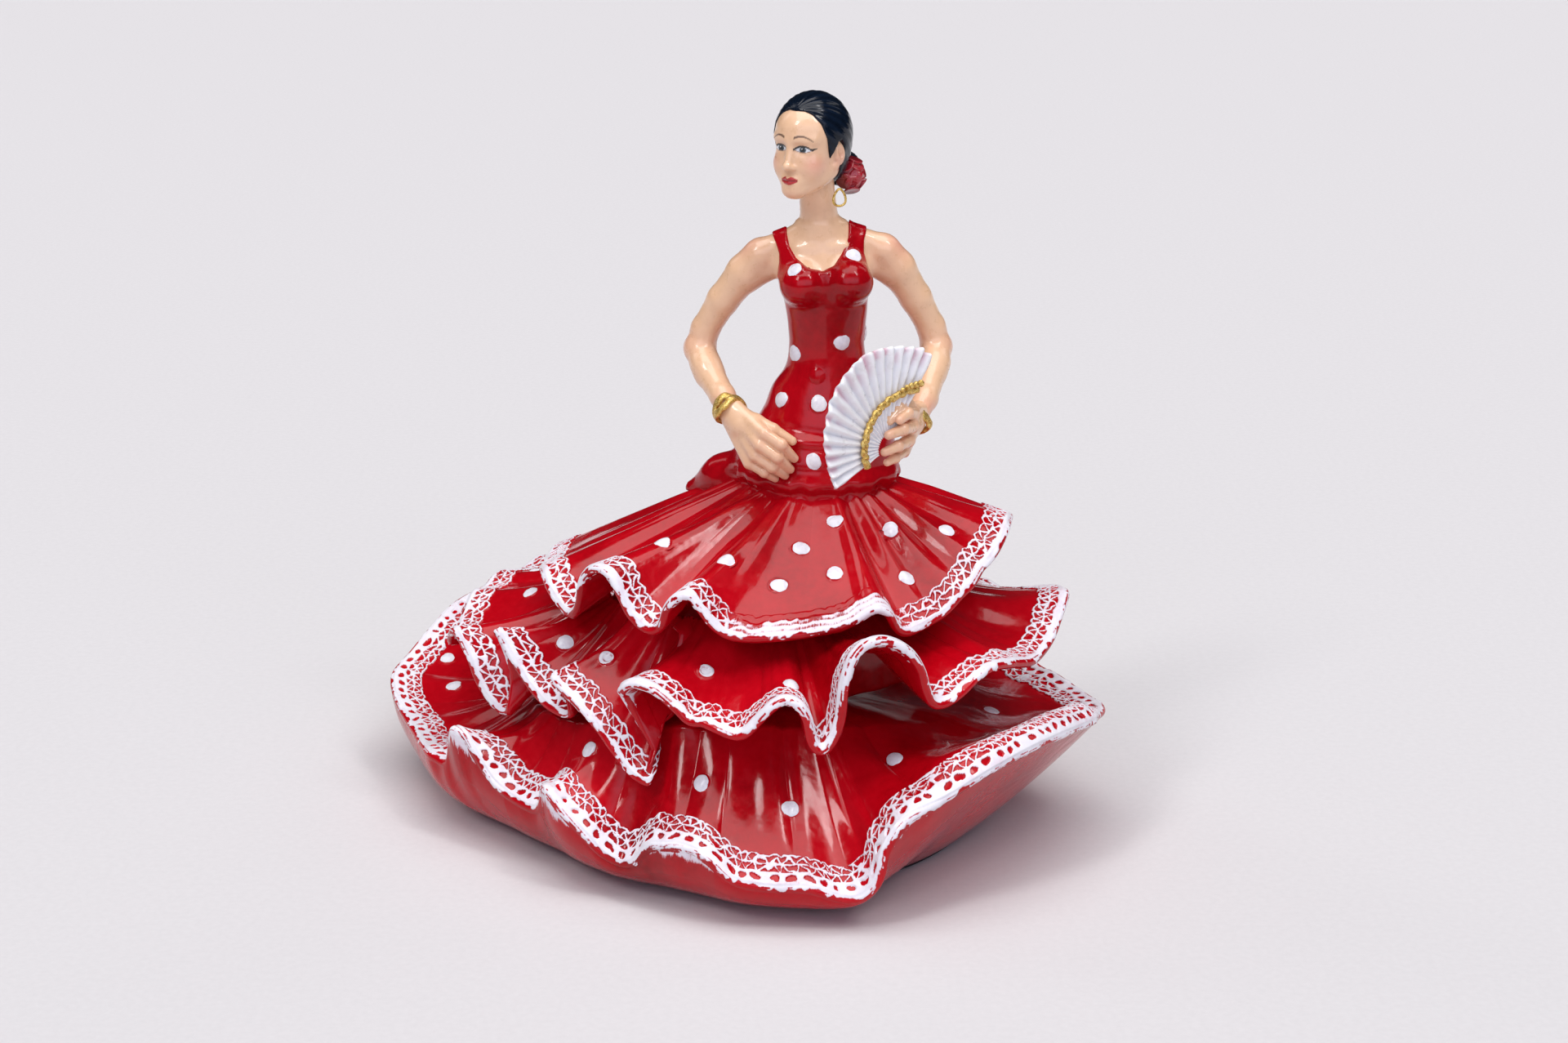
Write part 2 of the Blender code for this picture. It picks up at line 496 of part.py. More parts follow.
fan_sheet("fan_leaf", lambda s: band_reach(s) + GAP, fan_reach, 2, 0.7, 0.9, (WHITE, 0.4), scallop=0.5)
fan_sheet("fan_sticks", lambda s: 3.5, lambda s: band_reach(s) - 0.3, 1, 0.5, 0.8, (WHITE, 0.4))

cu = bpy.data.curves.new("fan_band", "CURVE")
cu.dimensions, cu.bevel_depth, cu.bevel_resolution, cu.use_fill_caps = "3D", 0.0005, 1, True
sp = cu.splines.new("POLY")
sp.points.add(20)
for k, q in enumerate(sp.points):
    a = math.radians(FAN_FROM + 2 + (FAN_TO - FAN_FROM - 4) * k / 20)
    r = band_reach(k / 20) + 0.8
    q.co = (*(fan_frame @ mm(r * math.cos(a), -2.0, r * math.sin(a))), 1.0)
guide = bpy.data.objects.new("fan_band_line", cu)
cutters.objects.link(guide)
bpy.context.view_layer.update()
me = bpy.data.meshes.new_from_object(guide.evaluated_get(bpy.context.evaluated_depsgraph_get()))
bpy.data.objects.remove(guide, do_unlink=True)
bm = bmesh.new()
bm.from_mesh(me)
bmesh.ops.remove_doubles(bm, verts=bm.verts, dist=1e-6)
me.name = "fan_band_raw"
add("fan_band", mesh_of(bm, "fan_band"), (GOLD, 0.3, 1.0))

# ---------------------------------------------------------------- earrings
head_m = Matrix.Translation(Vector(HEAD[0])) @ turn
for name, side in (("earring_right", -1), ("earring_left", 1)):
    p = head_m @ Vector((side * 8.9, 1.6, -6.2))
    ball(name, p, (0.8, 0.8, 1.7), Matrix.Identity(3), (GOLD, 0.3, 1.0), u=10, v=6)
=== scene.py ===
"""Looks of the dancer figurine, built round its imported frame.  Working sizes below are millimetres."""
import math

import bpy
import numpy as np
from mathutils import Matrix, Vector
from mathutils.bvhtree import BVHTree


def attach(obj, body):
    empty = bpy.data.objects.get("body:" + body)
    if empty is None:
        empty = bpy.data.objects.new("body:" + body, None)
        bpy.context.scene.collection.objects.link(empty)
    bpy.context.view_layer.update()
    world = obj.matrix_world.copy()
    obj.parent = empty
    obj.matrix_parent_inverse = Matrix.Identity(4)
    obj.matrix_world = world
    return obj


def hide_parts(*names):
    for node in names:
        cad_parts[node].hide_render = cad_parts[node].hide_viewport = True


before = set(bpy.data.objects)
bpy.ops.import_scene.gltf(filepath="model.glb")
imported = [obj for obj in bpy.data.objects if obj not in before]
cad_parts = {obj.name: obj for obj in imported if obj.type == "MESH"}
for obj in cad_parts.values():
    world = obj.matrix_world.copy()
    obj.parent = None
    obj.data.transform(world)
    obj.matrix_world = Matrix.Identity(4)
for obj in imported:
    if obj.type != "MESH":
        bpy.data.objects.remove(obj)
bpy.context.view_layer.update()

SHIFT = np.array([-0.27, -2.33, 0.0])      # working coordinates to the frame's origin
rng = np.random.default_rng(7)
PIECES = {}


# ================================================================ mesh helpers
def quads(rows, cols, wrap=True, flip=False):
    """Faces of a grid whose vertices run row by row."""
    c = cols if wrap else cols - 1
    i = np.arange(rows - 1)[:, None] * cols
    j = np.arange(c)[None, :]
    j2 = (j + 1) % cols
    f = np.stack([i + j, i + j2, i + cols + j2, i + cols + j], -1).reshape(-1, 4)
    return f[:, ::-1] if flip else f


def build(name, verts, faces, mat, replaces=(), attrs=None, tris=None, smooth=True):
    """A mesh piece from arrays: verts in working millimetres, quads, and triangles if any."""
    v = (np.asarray(verts, float) + SHIFT) * 0.001
    me = bpy.data.meshes.new(name)
    faces = np.asarray(faces, np.int32).reshape(-1, 4)
    tris = np.zeros((0, 3), np.int32) if tris is None else np.asarray(tris, np.int32).reshape(-1, 3)
    me.vertices.add(len(v))
    me.vertices.foreach_set("co", v.astype(np.float32).ravel())
    loops = np.concatenate([faces.ravel(), tris.ravel()]).astype(np.int32)
    me.loops.add(len(loops))
    me.loops.foreach_set("vertex_index", loops)
    n = len(faces) + len(tris)
    me.polygons.add(n)
    start = np.concatenate([np.arange(len(faces)) * 4, len(faces) * 4 + np.arange(len(tris)) * 3]).astype(np.int32)
    me.polygons.foreach_set("loop_start", start)
    me.polygons.foreach_set("loop_total", np.concatenate([np.full(len(faces), 4), np.full(len(tris), 3)]).astype(np.int32))
    if smooth:
        me.polygons.foreach_set("use_smooth", np.ones(n, bool))
    me.update(calc_edges=True)
    me.validate()
    for key, val in (attrs or {}).items():
        val = np.asarray(val, np.float32)
        kind = "FLOAT" if val.ndim == 1 else "FLOAT_VECTOR"
        a = me.attributes.new(key, kind, "POINT")
        a.data.foreach_set("value" if kind == "FLOAT" else "vector", val.ravel())
    o = bpy.data.objects.new(name, me)
    bpy.context.scene.collection.objects.link(o)
    me.materials.append(mat)
    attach(o, "root")
    if replaces:
        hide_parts(*replaces)
    PIECES[name] = o
    return o


def smoothstep(a, b, x):
    t = np.clip((x - a) / (b - a), 0, 1)
    return t * t * (3 - 2 * t)


def blur(a, sigma, step):
    """Gaussian blur of a periodic array along its first axis."""
    n = len(a)
    k = np.fft.rfftfreq(n, d=step)
    g = np.exp(-2 * (math.pi * k * sigma) ** 2)
    f = np.fft.rfft(a, axis=0)
    return np.fft.irfft(f * (g[:, None] if a.ndim > 1 else g), n=n, axis=0)


def wave1(u, total, length, seed):
    """Smooth periodic wave along a closed line, the same whatever the sampling."""
    r = np.random.default_rng(seed)
    k = np.arange(1, int(2 * total / length) + 1)
    w = np.exp(-(k * length / total / 1.15) ** 2) * (0.4 + r.random(len(k)))
    ph = r.uniform(0, 2 * math.pi, len(k))
    return (w[:, None] * np.cos(2 * math.pi * k[:, None] * u[None] / total + ph[:, None])).sum(0) / math.sqrt((w**2).sum() / 2)


def noise1(n, step, length, seed, amp=1.0):
    """Smooth periodic noise of n samples with features of the given length."""
    r = np.random.default_rng(seed).normal(size=n)
    b = blur(r, length / 2.5, step)
    return amp * b / (b.std() + 1e-9)


def hash3(ix, iy, iz, seed):
    h = (ix * 374761393 + iy * 668265263 + iz * 2147483647 + seed * 1274126177) & 0xFFFFFFFF
    h = ((h ^ (h >> 13)) * 1274126177) & 0xFFFFFFFF
    return ((h ^ (h >> 16)) & 0xFFFFFF) / float(0xFFFFFF) * 2 - 1


def noise3(p, scale, seed=0):
    """Value noise at points p, about -1 to 1, features of the given size."""
    q = p / scale
    i = np.floor(q).astype(np.int64)
    f = q - i
    f = f * f * (3 - 2 * f)
    out = np.zeros(len(p))
    for dx in (0, 1):
        for dy in (0, 1):
            for dz in (0, 1):
                w = (f[:, 0] if dx else 1 - f[:, 0]) * (f[:, 1] if dy else 1 - f[:, 1]) * (f[:, 2] if dz else 1 - f[:, 2])
                out += w * hash3(i[:, 0] + dx, i[:, 1] + dy, i[:, 2] + dz, seed)
    return out


# ================================================================ materials
def new_mat(name):
    m = bpy.data.materials.new(name)
    m.use_nodes = True
    nt = m.node_tree
    return m, nt, nt.nodes["Principled BSDF"]


def node(nt, kind, **kw):
    n = nt.nodes.new(kind)
    for k, v in kw.items():
        if k.startswith("in_"):
            key = k[3:]
            key = int(key) if key.isdigit() else key.replace("_", " ")
            n.inputs[key].default_value = v
        else:
            setattr(n, k, v)
    return n


def ramp(nt, stops, interp="LINEAR"):
    r = nt.nodes.new("ShaderNodeValToRGB")
    r.color_ramp.interpolation = interp
    e = r.color_ramp.elements
    while len(e) > 1:
        e.remove(e[-1])
    e[0].position, e[0].color = stops[0][0], (*stops[0][1], 1) if len(stops[0][1]) == 3 else stops[0][1]
    for p, c in stops[1:]:
        x = e.new(p)
        x.color = (*c, 1) if len(c) == 3 else c
    return r


def mix_rgb(nt, fac, a, b, blend="MIX"):
    m = nt.nodes.new("ShaderNodeMix")
    m.data_type, m.blend_type = "RGBA", blend
    for sock, val in (("Factor", fac), ("A", a), ("B", b)):
        idx = {"Factor": 0, "A": 6, "B": 7}[sock]
        if hasattr(val, "is_linked") or isinstance(val, bpy.types.NodeSocket):
            nt.links.new(val, m.inputs[idx])
        elif isinstance(val, (int, float)):
            m.inputs[idx].default_value = val
        else:
            m.inputs[idx].default_value = (*val, 1) if len(val) == 3 else val
    return m.outputs[2]


def mathn(nt, op, a, b=None, clamp=False):
    m = nt.nodes.new("ShaderNodeMath")
    m.operation, m.use_clamp = op, clamp
    for i, val in enumerate((a, b)):
        if val is None:
            continue
        if isinstance(val, bpy.types.NodeSocket):
            nt.links.new(val, m.inputs[i])
        else:
            m.inputs[i].default_value = val
    return m.outputs[0]


def attr(nt, name, vector=False):
    a = nt.nodes.new("ShaderNodeAttribute")
    a.attribute_name = name
    return a.outputs["Vector"] if vector else a.outputs["Fac"]


def coords(nt, scale=1000.0):
    """Object coordinates in millimetres."""
    t = nt.nodes.new("ShaderNodeTexCoord")
    m = nt.nodes.new("ShaderNodeMapping")
    m.inputs["Scale"].default_value = (scale,) * 3
    nt.links.new(t.outputs["Object"], m.inputs["Vector"])
    return m.outputs[0]


def noise_tex(nt, vec, scale, detail=3.0, rough=0.5, distortion=0.0):
    n = nt.nodes.new("ShaderNodeTexNoise")
    n.inputs["Scale"].default_value = scale
    n.inputs["Detail"].default_value = detail
    n.inputs["Roughness"].default_value = rough
    n.inputs["Distortion"].default_value = distortion
    nt.links.new(vec, n.inputs["Vector"])
    return n.outputs["Fac"]


def map_range(nt, val, a, b, c=0.0, d=1.0, smooth=True):
    m = nt.nodes.new("ShaderNodeMapRange")
    m.interpolation_type = "SMOOTHSTEP" if smooth else "LINEAR"
    nt.links.new(val, m.inputs[0])
    for i, x in enumerate((a, b, c, d)):
        m.inputs[i + 1].default_value = x
    return m.outputs[0]


def bump(nt, height, strength, distance, normal=None):
    b = nt.nodes.new("ShaderNodeBump")
    b.inputs["Strength"].default_value = strength
    b.inputs["Distance"].default_value = distance
    nt.links.new(height, b.inputs["Height"])
    if normal is not None:
        nt.links.new(normal, b.inputs["Normal"])
    return b.outputs[0]


RED_DEEP, RED_MID, RED_LIT = (0.250, 0.0005, 0.003), (0.430, 0.0009, 0.006), (0.56, 0.003, 0.011)


def enamel(name, painted=None, solid=False):
    """Glossy red enamel.  painted names an attribute from 0 (red) to 1 (white paint dragged over it)."""
    m, nt, b = new_mat(name)
    p = coords(nt)
    broad = noise_tex(nt, p, 0.035, 2.0)
    fine = noise_tex(nt, p, 0.55, 4.0, 0.6)
    mix = mathn(nt, "ADD", mathn(nt, "MULTIPLY", broad, 0.75), mathn(nt, "MULTIPLY", fine, 0.25))
    red = ramp(nt, [(0.30, RED_DEEP), (0.47, RED_MID), (0.70, RED_LIT)])
    nt.links.new(mix, red.inputs[0])
    colour = red.outputs[0]
    wave = noise_tex(nt, p, 0.28, 2.0, 0.4)
    grain = noise_tex(nt, p, 2.6, 3.0, 0.6)
    n1 = bump(nt, wave, 0.16, 0.0012)
    n2 = bump(nt, grain, 0.10, 0.00012, n1)
    rough = map_range(nt, fine, 0.3, 0.75, 0.10, 0.22)
    if painted and solid:
        mask = attr(nt, painted)
        patch = noise_tex(nt, p, 0.8, 3.0, 0.6)
        edge = mathn(nt, "ADD", mask, mathn(nt, "MULTIPLY", mathn(nt, "SUBTRACT", patch, 0.5), 0.35))
        cover = map_range(nt, edge, 0.42, 0.60)
        white = ramp(nt, [(0.25, (0.72, 0.70, 0.77)), (0.6, (0.86, 0.86, 0.90))])
        nt.links.new(patch, white.inputs[0])
        colour = mix_rgb(nt, cover, colour, white.outputs[0])
        rough = mathn(nt, "ADD", rough, mathn(nt, "MULTIPLY", cover, 0.08))
        n2 = bump(nt, cover, 0.6, 0.00010, n2)
    elif painted:
        mask = attr(nt, painted)
        hem = attr(nt, "hem", vector=True)
        mp = nt.nodes.new("ShaderNodeMapping")
        mp.inputs["Scale"].default_value = (3.4, 0.55, 1.0)
        nt.links.new(hem, mp.inputs["Vector"])
        streak = noise_tex(nt, mp.outputs[0], 1.0, 4.0, 0.62, 0.3)
        patch = noise_tex(nt, p, 0.9, 3.0, 0.6)
        grit = mathn(nt, "ADD", mathn(nt, "MULTIPLY", streak, 0.65), mathn(nt, "MULTIPLY", patch, 0.35))
        edge = mathn(nt, "ADD", mask, mathn(nt, "MULTIPLY", mathn(nt, "SUBTRACT", grit, 0.5), 1.25))
        cover = map_range(nt, edge, 0.40, 0.66)
        thin = ramp(nt, [(0.0, (0.62, 0.16, 0.22)), (0.45, (0.74, 0.50, 0.58)), (0.8, (0.83, 0.79, 0.85)), (1.0, (0.88, 0.87, 0.91))])
        body = mathn(nt, "ADD", mathn(nt, "MULTIPLY", mask, 0.7), mathn(nt, "MULTIPLY", patch, 0.45))
        nt.links.new(body, thin.inputs[0])
        colour = mix_rgb(nt, cover, colour, thin.outputs[0])
        rough = mathn(nt, "ADD", rough, mathn(nt, "MULTIPLY", cover, 0.22))
        n2 = bump(nt, mathn(nt, "MULTIPLY", cover, grit), 0.5, 0.00018, n2)
    nt.links.new(colour, b.inputs["Base Color"])
    nt.links.new(rough, b.inputs["Roughness"])
    nt.links.new(n2, b.inputs["Normal"])
    b.inputs["Coat Weight"].default_value = 0.30
    b.inputs["Coat Roughness"].default_value = 0.035
    b.inputs["Specular IOR Level"].default_value = 0.16
    return m


MAT_RED = enamel("red_enamel")
MAT_LACE = enamel("red_enamel_laced", painted="paint")


# ================================================================ hems
def closed(points, n):
    """n points evenly spaced along a smooth closed curve through the given ones."""
    p = np.array(points, float)
    k = len(p)
    d = np.linalg.norm(np.roll(p, -1, 0) - p, axis=1) ** 0.5
    out = []
    per = 24
    for i in range(k):
        p0, p1, p2, p3 = p[i - 1], p[i], p[(i + 1) % k], p[(i + 2) % k]
        d0, d1, d2 = d[i - 1], d[i], d[(i + 1) % k]
        m1 = (p1 - p0) / d0 - (p2 - p0) / (d0 + d1) + (p2 - p1) / d1
        m2 = (p2 - p1) / d1 - (p3 - p1) / (d1 + d2) + (p3 - p2) / d2
        m1, m2 = m1 * d1, m2 * d1
        u = np.linspace(0, 1, per, endpoint=False)[:, None]
        out.append((2 * u**3 - 3 * u**2 + 1) * p1 + (u**3 - 2 * u**2 + u) * m1 + (-2 * u**3 + 3 * u**2) * p2 + (u**3 - u**2) * m2)
    c = np.concatenate(out)
    c = np.concatenate([c, c[:1]])
    s = np.concatenate([[0], np.cumsum(np.linalg.norm(np.diff(c, axis=0), axis=1))])
    t = np.linspace(0, s[-1], n, endpoint=False)
    return np.stack([np.interp(t, s, c[:, q]) for q in range(3)], 1), s[-1]


def polar(table, centre=(0.0, 0.0)):
    t = np.array(table, float)
    a = np.radians(t[:, 0])
    return np.stack([centre[0] + t[:, 1] * np.cos(a), centre[1] + t[:, 1] * np.sin(a), t[:, 2]], 1)


# bearing, reach, height of each hem, read round from the figure's right
LOWER = [(-180, 72, 17.5), (-171.5, 69, 18), (-168.5, 66, 17.5), (-167, 65, 22.5), (-164, 64.5, 27.5), (-161, 63, 27), (-158, 61, 22.5),
         (-154, 59, 18), (-145, 56, 15), (-141.5, 55, 15), (-139, 55.5, 18.5), (-136, 57, 22.5), (-132, 58.5, 23), (-128, 58.5, 19.5),
         (-122, 58, 14.5), (-119, 57.5, 11.5), (-115, 56.5, 9.5), (-112, 57, 10.5), (-108, 58.5, 15.5), (-104, 60, 17), (-99, 61.5, 17.5),
         (-94, 64, 16), (-89.5, 65.5, 12), (-84, 67, 11), (-77, 69, 11), (-69, 71.5, 8.3), (-66, 73, 12), (-64.5, 73, 19), (-61, 73.5, 25),
         (-54, 75.5, 28.5), (-46, 77, 32), (-36, 78, 33.5), (-28, 79, 33), (-20, 80.5, 31.5), (-14, 82, 30), (-8.5, 81.7, 28), (-2, 82.5, 27),
         (4.7, 78.7, 27), (11, 75, 28), (17.5, 72.7, 28), (24, 70.5, 32), (30, 70, 33), (36, 72, 28), (42, 73, 25), (48, 70, 31), (53, 68.5, 35),
         (58, 71, 31), (63, 73.5, 26), (69, 71, 32), (75, 69, 34.5), (81, 71, 31), (87, 73.5, 27), (93, 71.5, 33), (99, 70, 35.5), (106, 72.5, 33),
         (112, 76, 30), (118, 77, 33), (124, 80.5, 36.5), (129.5, 85, 36), (133.8, 89.5, 33.5), (140, 91, 31), (147, 89, 28), (153, 89, 24),
         (159, 88, 22), (164, 84, 20), (171, 77.5, 18)]
MIDDLE = [(-180, 64.5, 42), (-177, 64, 45), (-173.5, 63, 46.8), (-169, 60.3, 42.3), (-165.8, 58.1, 35.6), (-161, 54.0, 31), (-162.5, 51.5, 38),
          (-163, 53.0, 46), (-160.5, 55.2, 50.7), (-157.4, 53.6, 46.8), (-154, 51.9, 42.5), (-149, 50.7, 39), (-143.3, 50.2, 37.2),
          (-138.5, 47.8, 35.8), (-141.2, 46.8, 40.0), (-141.6, 49.0, 44.0), (-139.6, 51.0, 45.6), (-136.5, 50.7, 43.4), (-130.7, 50.5, 40.7),
          (-125.5, 50.5, 37.1), (-121.4, 51, 34.2), (-117.9, 51.3, 31.0), (-114.3, 52, 28.2), (-109.5, 52.6, 27.3), (-110, 48.5, 31.0), (-115.5, 47.0, 38),
          (-119, 48.5, 44.5), (-117.5, 51.3, 47.2), (-113.9, 51.9, 49.3), (-108.4, 52.4, 48.7), (-104.3, 53.1, 46.6), (-101.3, 53.5, 44.3),
          (-99.3, 54.2, 42.8), (-96.4, 55.3, 43.2), (-92.8, 56.8, 42.3), (-88.5, 58.5, 41.5), (-85.3, 59.2, 44.9), (-82.9, 60, 47.8),
          (-79.8, 60.7, 50.1), (-76.7, 61.4, 48.8), (-74.7, 61.9, 45.2), (-73.9, 61.9, 40.6), (-72.6, 62.2, 38.2), (-71.0, 62.6, 40.5),
          (-69.7, 63, 45), (-69.2, 63.2, 52), (-67.3, 63.7, 58.9), (-64.6, 64.2, 61.7), (-61.6, 65.1, 62.3), (-58.6, 65.9, 61.0),
          (-55.7, 66.5, 58.2), (-53.4, 67, 53.8), (-52.2, 67.2, 49.1), (-50.8, 67.4, 46.2), (-48.5, 67.8, 46.1), (-45.7, 68.2, 47.4), (-41.6, 68.5, 49.9),
          (-37, 68.8, 50.8), (-30.4, 69.3, 49.2), (-24, 70, 47.2), (-20, 70.5, 47), (-14, 71.5, 48.5), (-8, 72.5, 51), (-2, 73.8, 54), (3, 73, 53), (8, 71, 51),
          (13, 68.5, 48.5), (19, 66.5, 46), (26, 65, 46.5), (32, 65.5, 44), (38, 66, 46.5), (44, 65, 43.5), (50, 63.5, 40), (56, 64.5, 43.5), (62, 65.5, 47),
          (68, 64.5, 43), (74, 63, 39.5), (80, 64, 43), (86, 65.5, 47), (92, 64.5, 44), (98, 64, 40.5), (104, 65, 43.5), (110, 66, 46.5),
          (116, 67, 43), (122, 68, 40), (128, 69.5, 42.5), (134, 69.5, 45.5), (141, 67.5, 44.5), (149, 66.5, 46.5), (156, 65.5, 45), (162, 64.5, 46.5),
          (168, 64, 44.5), (174, 64, 42)]
UPPER = [(-180, 52.3, 59.5), (-172, 52.5, 61.5), (-166, 52.7, 62.3), (-160, 52.8, 60.5), (-156, 52.4, 58.9), (-149, 51.7, 57.2), (-146.4, 51.3, 60.5),
         (-145.2, 51, 65.4), (-142.4, 50.6, 68.6), (-138.2, 50.0, 69.8), (-134.4, 49.4, 68.3), (-131.5, 49, 64.2), (-128.4, 48.6, 60.1),
         (-123.7, 48.1, 58.0), (-121.2, 47.8, 59.2), (-119.6, 47.6, 63), (-116.8, 47.3, 66), (-112.4, 46.9, 67), (-109.2, 46.7, 64.1),
         (-105.9, 46.5, 60.7), (-102.7, 46.3, 58.9), (-98.4, 46.1, 58.3), (-89.9, 46, 58.6), (-79.2, 46.2, 59.6), (-72.8, 46.6, 60.4),
         (-68.4, 46.9, 61.9), (-65.2, 47.2, 63.4), (-61.8, 47.5, 63.5), (-59.1, 47.8, 62), (-57.4, 48, 59.2), (-55.2, 48.2, 57.4),
         (-51.5, 48.7, 57.9), (-47.7, 49.2, 58.9), (-42.7, 49.8, 60.4), (-38.7, 50.4, 62.8), (-34.4, 51, 64.8), (-31.3, 51.4, 67.3),
         (-26.1, 52.1, 69.2), (-19.8, 52.6, 72.3), (-13, 52.4, 73.6), (-6, 52, 73), (1, 51.5, 71.3), (8, 51, 69), (15, 50, 66.5),
         (22, 49, 64.5), (29, 48.5, 60.5), (36, 48, 57), (43, 47.5, 58.5), (50, 47, 61), (57, 47.5, 57.5), (64, 48, 54), (71, 47.5, 57), (78, 47, 59.5),
         (85, 48.5, 56), (92, 49.5, 53), (99, 49.5, 56), (106, 50.5, 58.5), (113, 52, 56), (120, 53, 52.5), (127, 54, 54.5), (134, 55, 57),
         (141, 55, 55), (148, 55, 56), (156, 54.5, 57.5), (164, 53.5, 58.5), (172, 52.5, 58.5)]


class Flounce:
    """One ruffled tier: a surface from a seam (t 0) to a hem (t 1), with a rounded rim and an underside."""

    def __init__(self, table, centre, seam, n, even, sag, power, wall, soften=0.9, flute=(0.0, 16.0, 1), crowns=(), folds=(), calm=None):
        pts, self.length = closed(polar(table, centre), n)
        self.n, self.step = n, self.length / n
        self.hem = blur(pts, soften, self.step)
        self.mean = blur(pts, even, self.step)
        x, y, a, b, z, front = seam
        # bearing of the seam point that each hem point hangs from
        ang = np.unwrap(np.arctan2((self.mean[:, 1] - y) / b, (self.mean[:, 0] - x) / a))
        self.ang = ang
        self.seam = np.stack([x + a * np.cos(ang), y + b * np.sin(ang), z + front * np.clip(-np.sin(ang), 0, 1) ** 2], 1)
        self.sag, self.power, self.wall = sag, power, wall
        self.u = np.arange(n) * self.step
        amp, length, seed = flute
        # rounded flutes parted by narrow grooves, and places where the cloth swells before it turns down to the hem
        self.flute = amp * (np.abs(wave1(self.u, self.length, length, seed)) ** 0.8 - 0.7)
        deg = (np.degrees(ang) + 180) % 360 - 180
        if calm:
            self.flute = self.flute * (1 - 0.85 * smoothstep(calm[0] - 6, calm[0] + 6, deg) * smoothstep(calm[1] + 6, calm[1] - 6, deg))
        for at, height, half in folds:
            self.flute = self.flute + height * np.exp(-(((deg - at + 180) % 360 - 180) / half) ** 2)
        self.crown = np.zeros(n)
        for lo, hi, height in crowns:
            self.crown += height * smoothstep(lo - 6, lo + 6, deg) * smoothstep(hi + 6, hi - 6, deg)

    def relief(self, t):
        swell = np.clip(t, 0, 1) ** 4 * np.clip(1 - t, 0, 1) / 0.08192
        return self.flute * (1 - np.clip(t, 0, 1) ** 2.4) * (0.45 + 0.55 * smoothstep(0.0, 0.4, t)) + self.crown * swell - self.sag * 4 * t * (1 - t)

    def at(self, t):
        """Surface points for an array of t, one row of n points each."""
        t = np.asarray(t, float).reshape(-1, 1, 1)
        p = self.seam[None] * (1 - t) + self.mean[None] * t + (self.hem - self.mean)[None] * np.abs(t) ** self.power
        p[:, :, 2] += self.relief(t[:, :, 0])
        return p

    def frame_at(self, t, dt=0.004):
        """Points, outward direction (along t), direction along the hem and upward normal."""
        p = self.at(t)
        q = self.at(np.asarray(t) - dt)
        out = p - q
        out /= np.linalg.norm(out, axis=2, keepdims=True)
        along = np.roll(p, -1, 1) - np.roll(p, 1, 1)
        along /= np.linalg.norm(along, axis=2, keepdims=True)
        nrm = np.cross(out, along)
        nrm /= np.linalg.norm(nrm, axis=2, keepdims=True)
        return p, out, along, nrm

    def rim(self, phis, lift=0.0):
        """Rows round the rounded rim; phi 0 is on top, 180 underneath."""
        p, out, along, nrm = self.frame_at(np.array([1.0]))
        c = p - nrm * self.wall / 2
        phi = np.radians(np.asarray(phis, float)).reshape(-1, 1, 1)
        return c + (self.wall / 2 + lift) * (nrm * np.cos(phi) + out * np.sin(phi))

    def reach(self):
        """Length of the surface from seam to hem along each line, and t as a function of distance from the hem."""
        ts = np.linspace(0.3, 1, 36)
        p = self.at(ts)
        seg = np.linalg.norm(np.diff(p, axis=0), axis=2)
        d = np.concatenate([np.cumsum(seg[::-1], 0)[::-1], np.zeros((1, self.n))])   # distance from the hem at ts
        return ts, d

    def band(self, vs):
        """Points at distances vs (mm) in from the hem, along each line."""
        ts, d = self.reach()
        pts, nrms = [], []
        for v in vs:
            # invert d(t) = v column by column; d falls as t rises
            idx = np.clip((d > v).sum(0) - 1, 0, len(ts) - 2)
            cols = np.arange(self.n)
            d0, d1 = d[idx, cols], d[idx + 1, cols]
            t = ts[idx] + (ts[idx + 1] - ts[idx]) * np.clip((d0 - v) / np.maximum(d0 - d1, 1e-9), 0, 1)
            pts.append(self._at_cols(t))
        pts = np.array(pts)
        return pts

    def _at_cols(self, t):
        p = self.seam * (1 - t[:, None]) + self.mean * t[:, None] + (self.hem - self.mean) * np.abs(t[:, None]) ** self.power
        p[:, 2] += self.relief(t)
        return p


def grid_normals(p):
    """Normals of a grid of points (rows, cols, 3), periodic in columns; rows run inward from the hem."""
    dr = np.gradient(p, axis=0)
    dc = np.roll(p, -1, 1) - np.roll(p, 1, 1)
    n = np.cross(dc, dr)
    return n / np.maximum(np.linalg.norm(n, axis=2, keepdims=True), 1e-9)


SEAM_LOWER = (4.0, 0.0, 50.0, 43.0, 29.0, 8.0)
SEAM_MIDDLE = (8.0, 0.0, 38.0, 32.0, 56.0, 1.0)
SEAM_UPPER = (18.5, 0.5, 16.6, 13.8, 79.9, 0.0)
FOLDS_LOWER = ((-52, 0.7, 5), (-40, -0.6, 5), (-28, 0.7, 6), (-12, -0.5, 7), (4, 0.6, 6), (20, -0.6, 6))
SHAPE_LOWER = (11.0, 2.6, 1.35, 2.0, 0.9, (1.15, 17.0, 5), ((-62, -8, 4.2),), FOLDS_LOWER, (-58, 40))
SHAPE_MIDDLE = (13.0, 1.6, 1.30, 1.8, 0.7, (0.95, 15.0, 8), ())
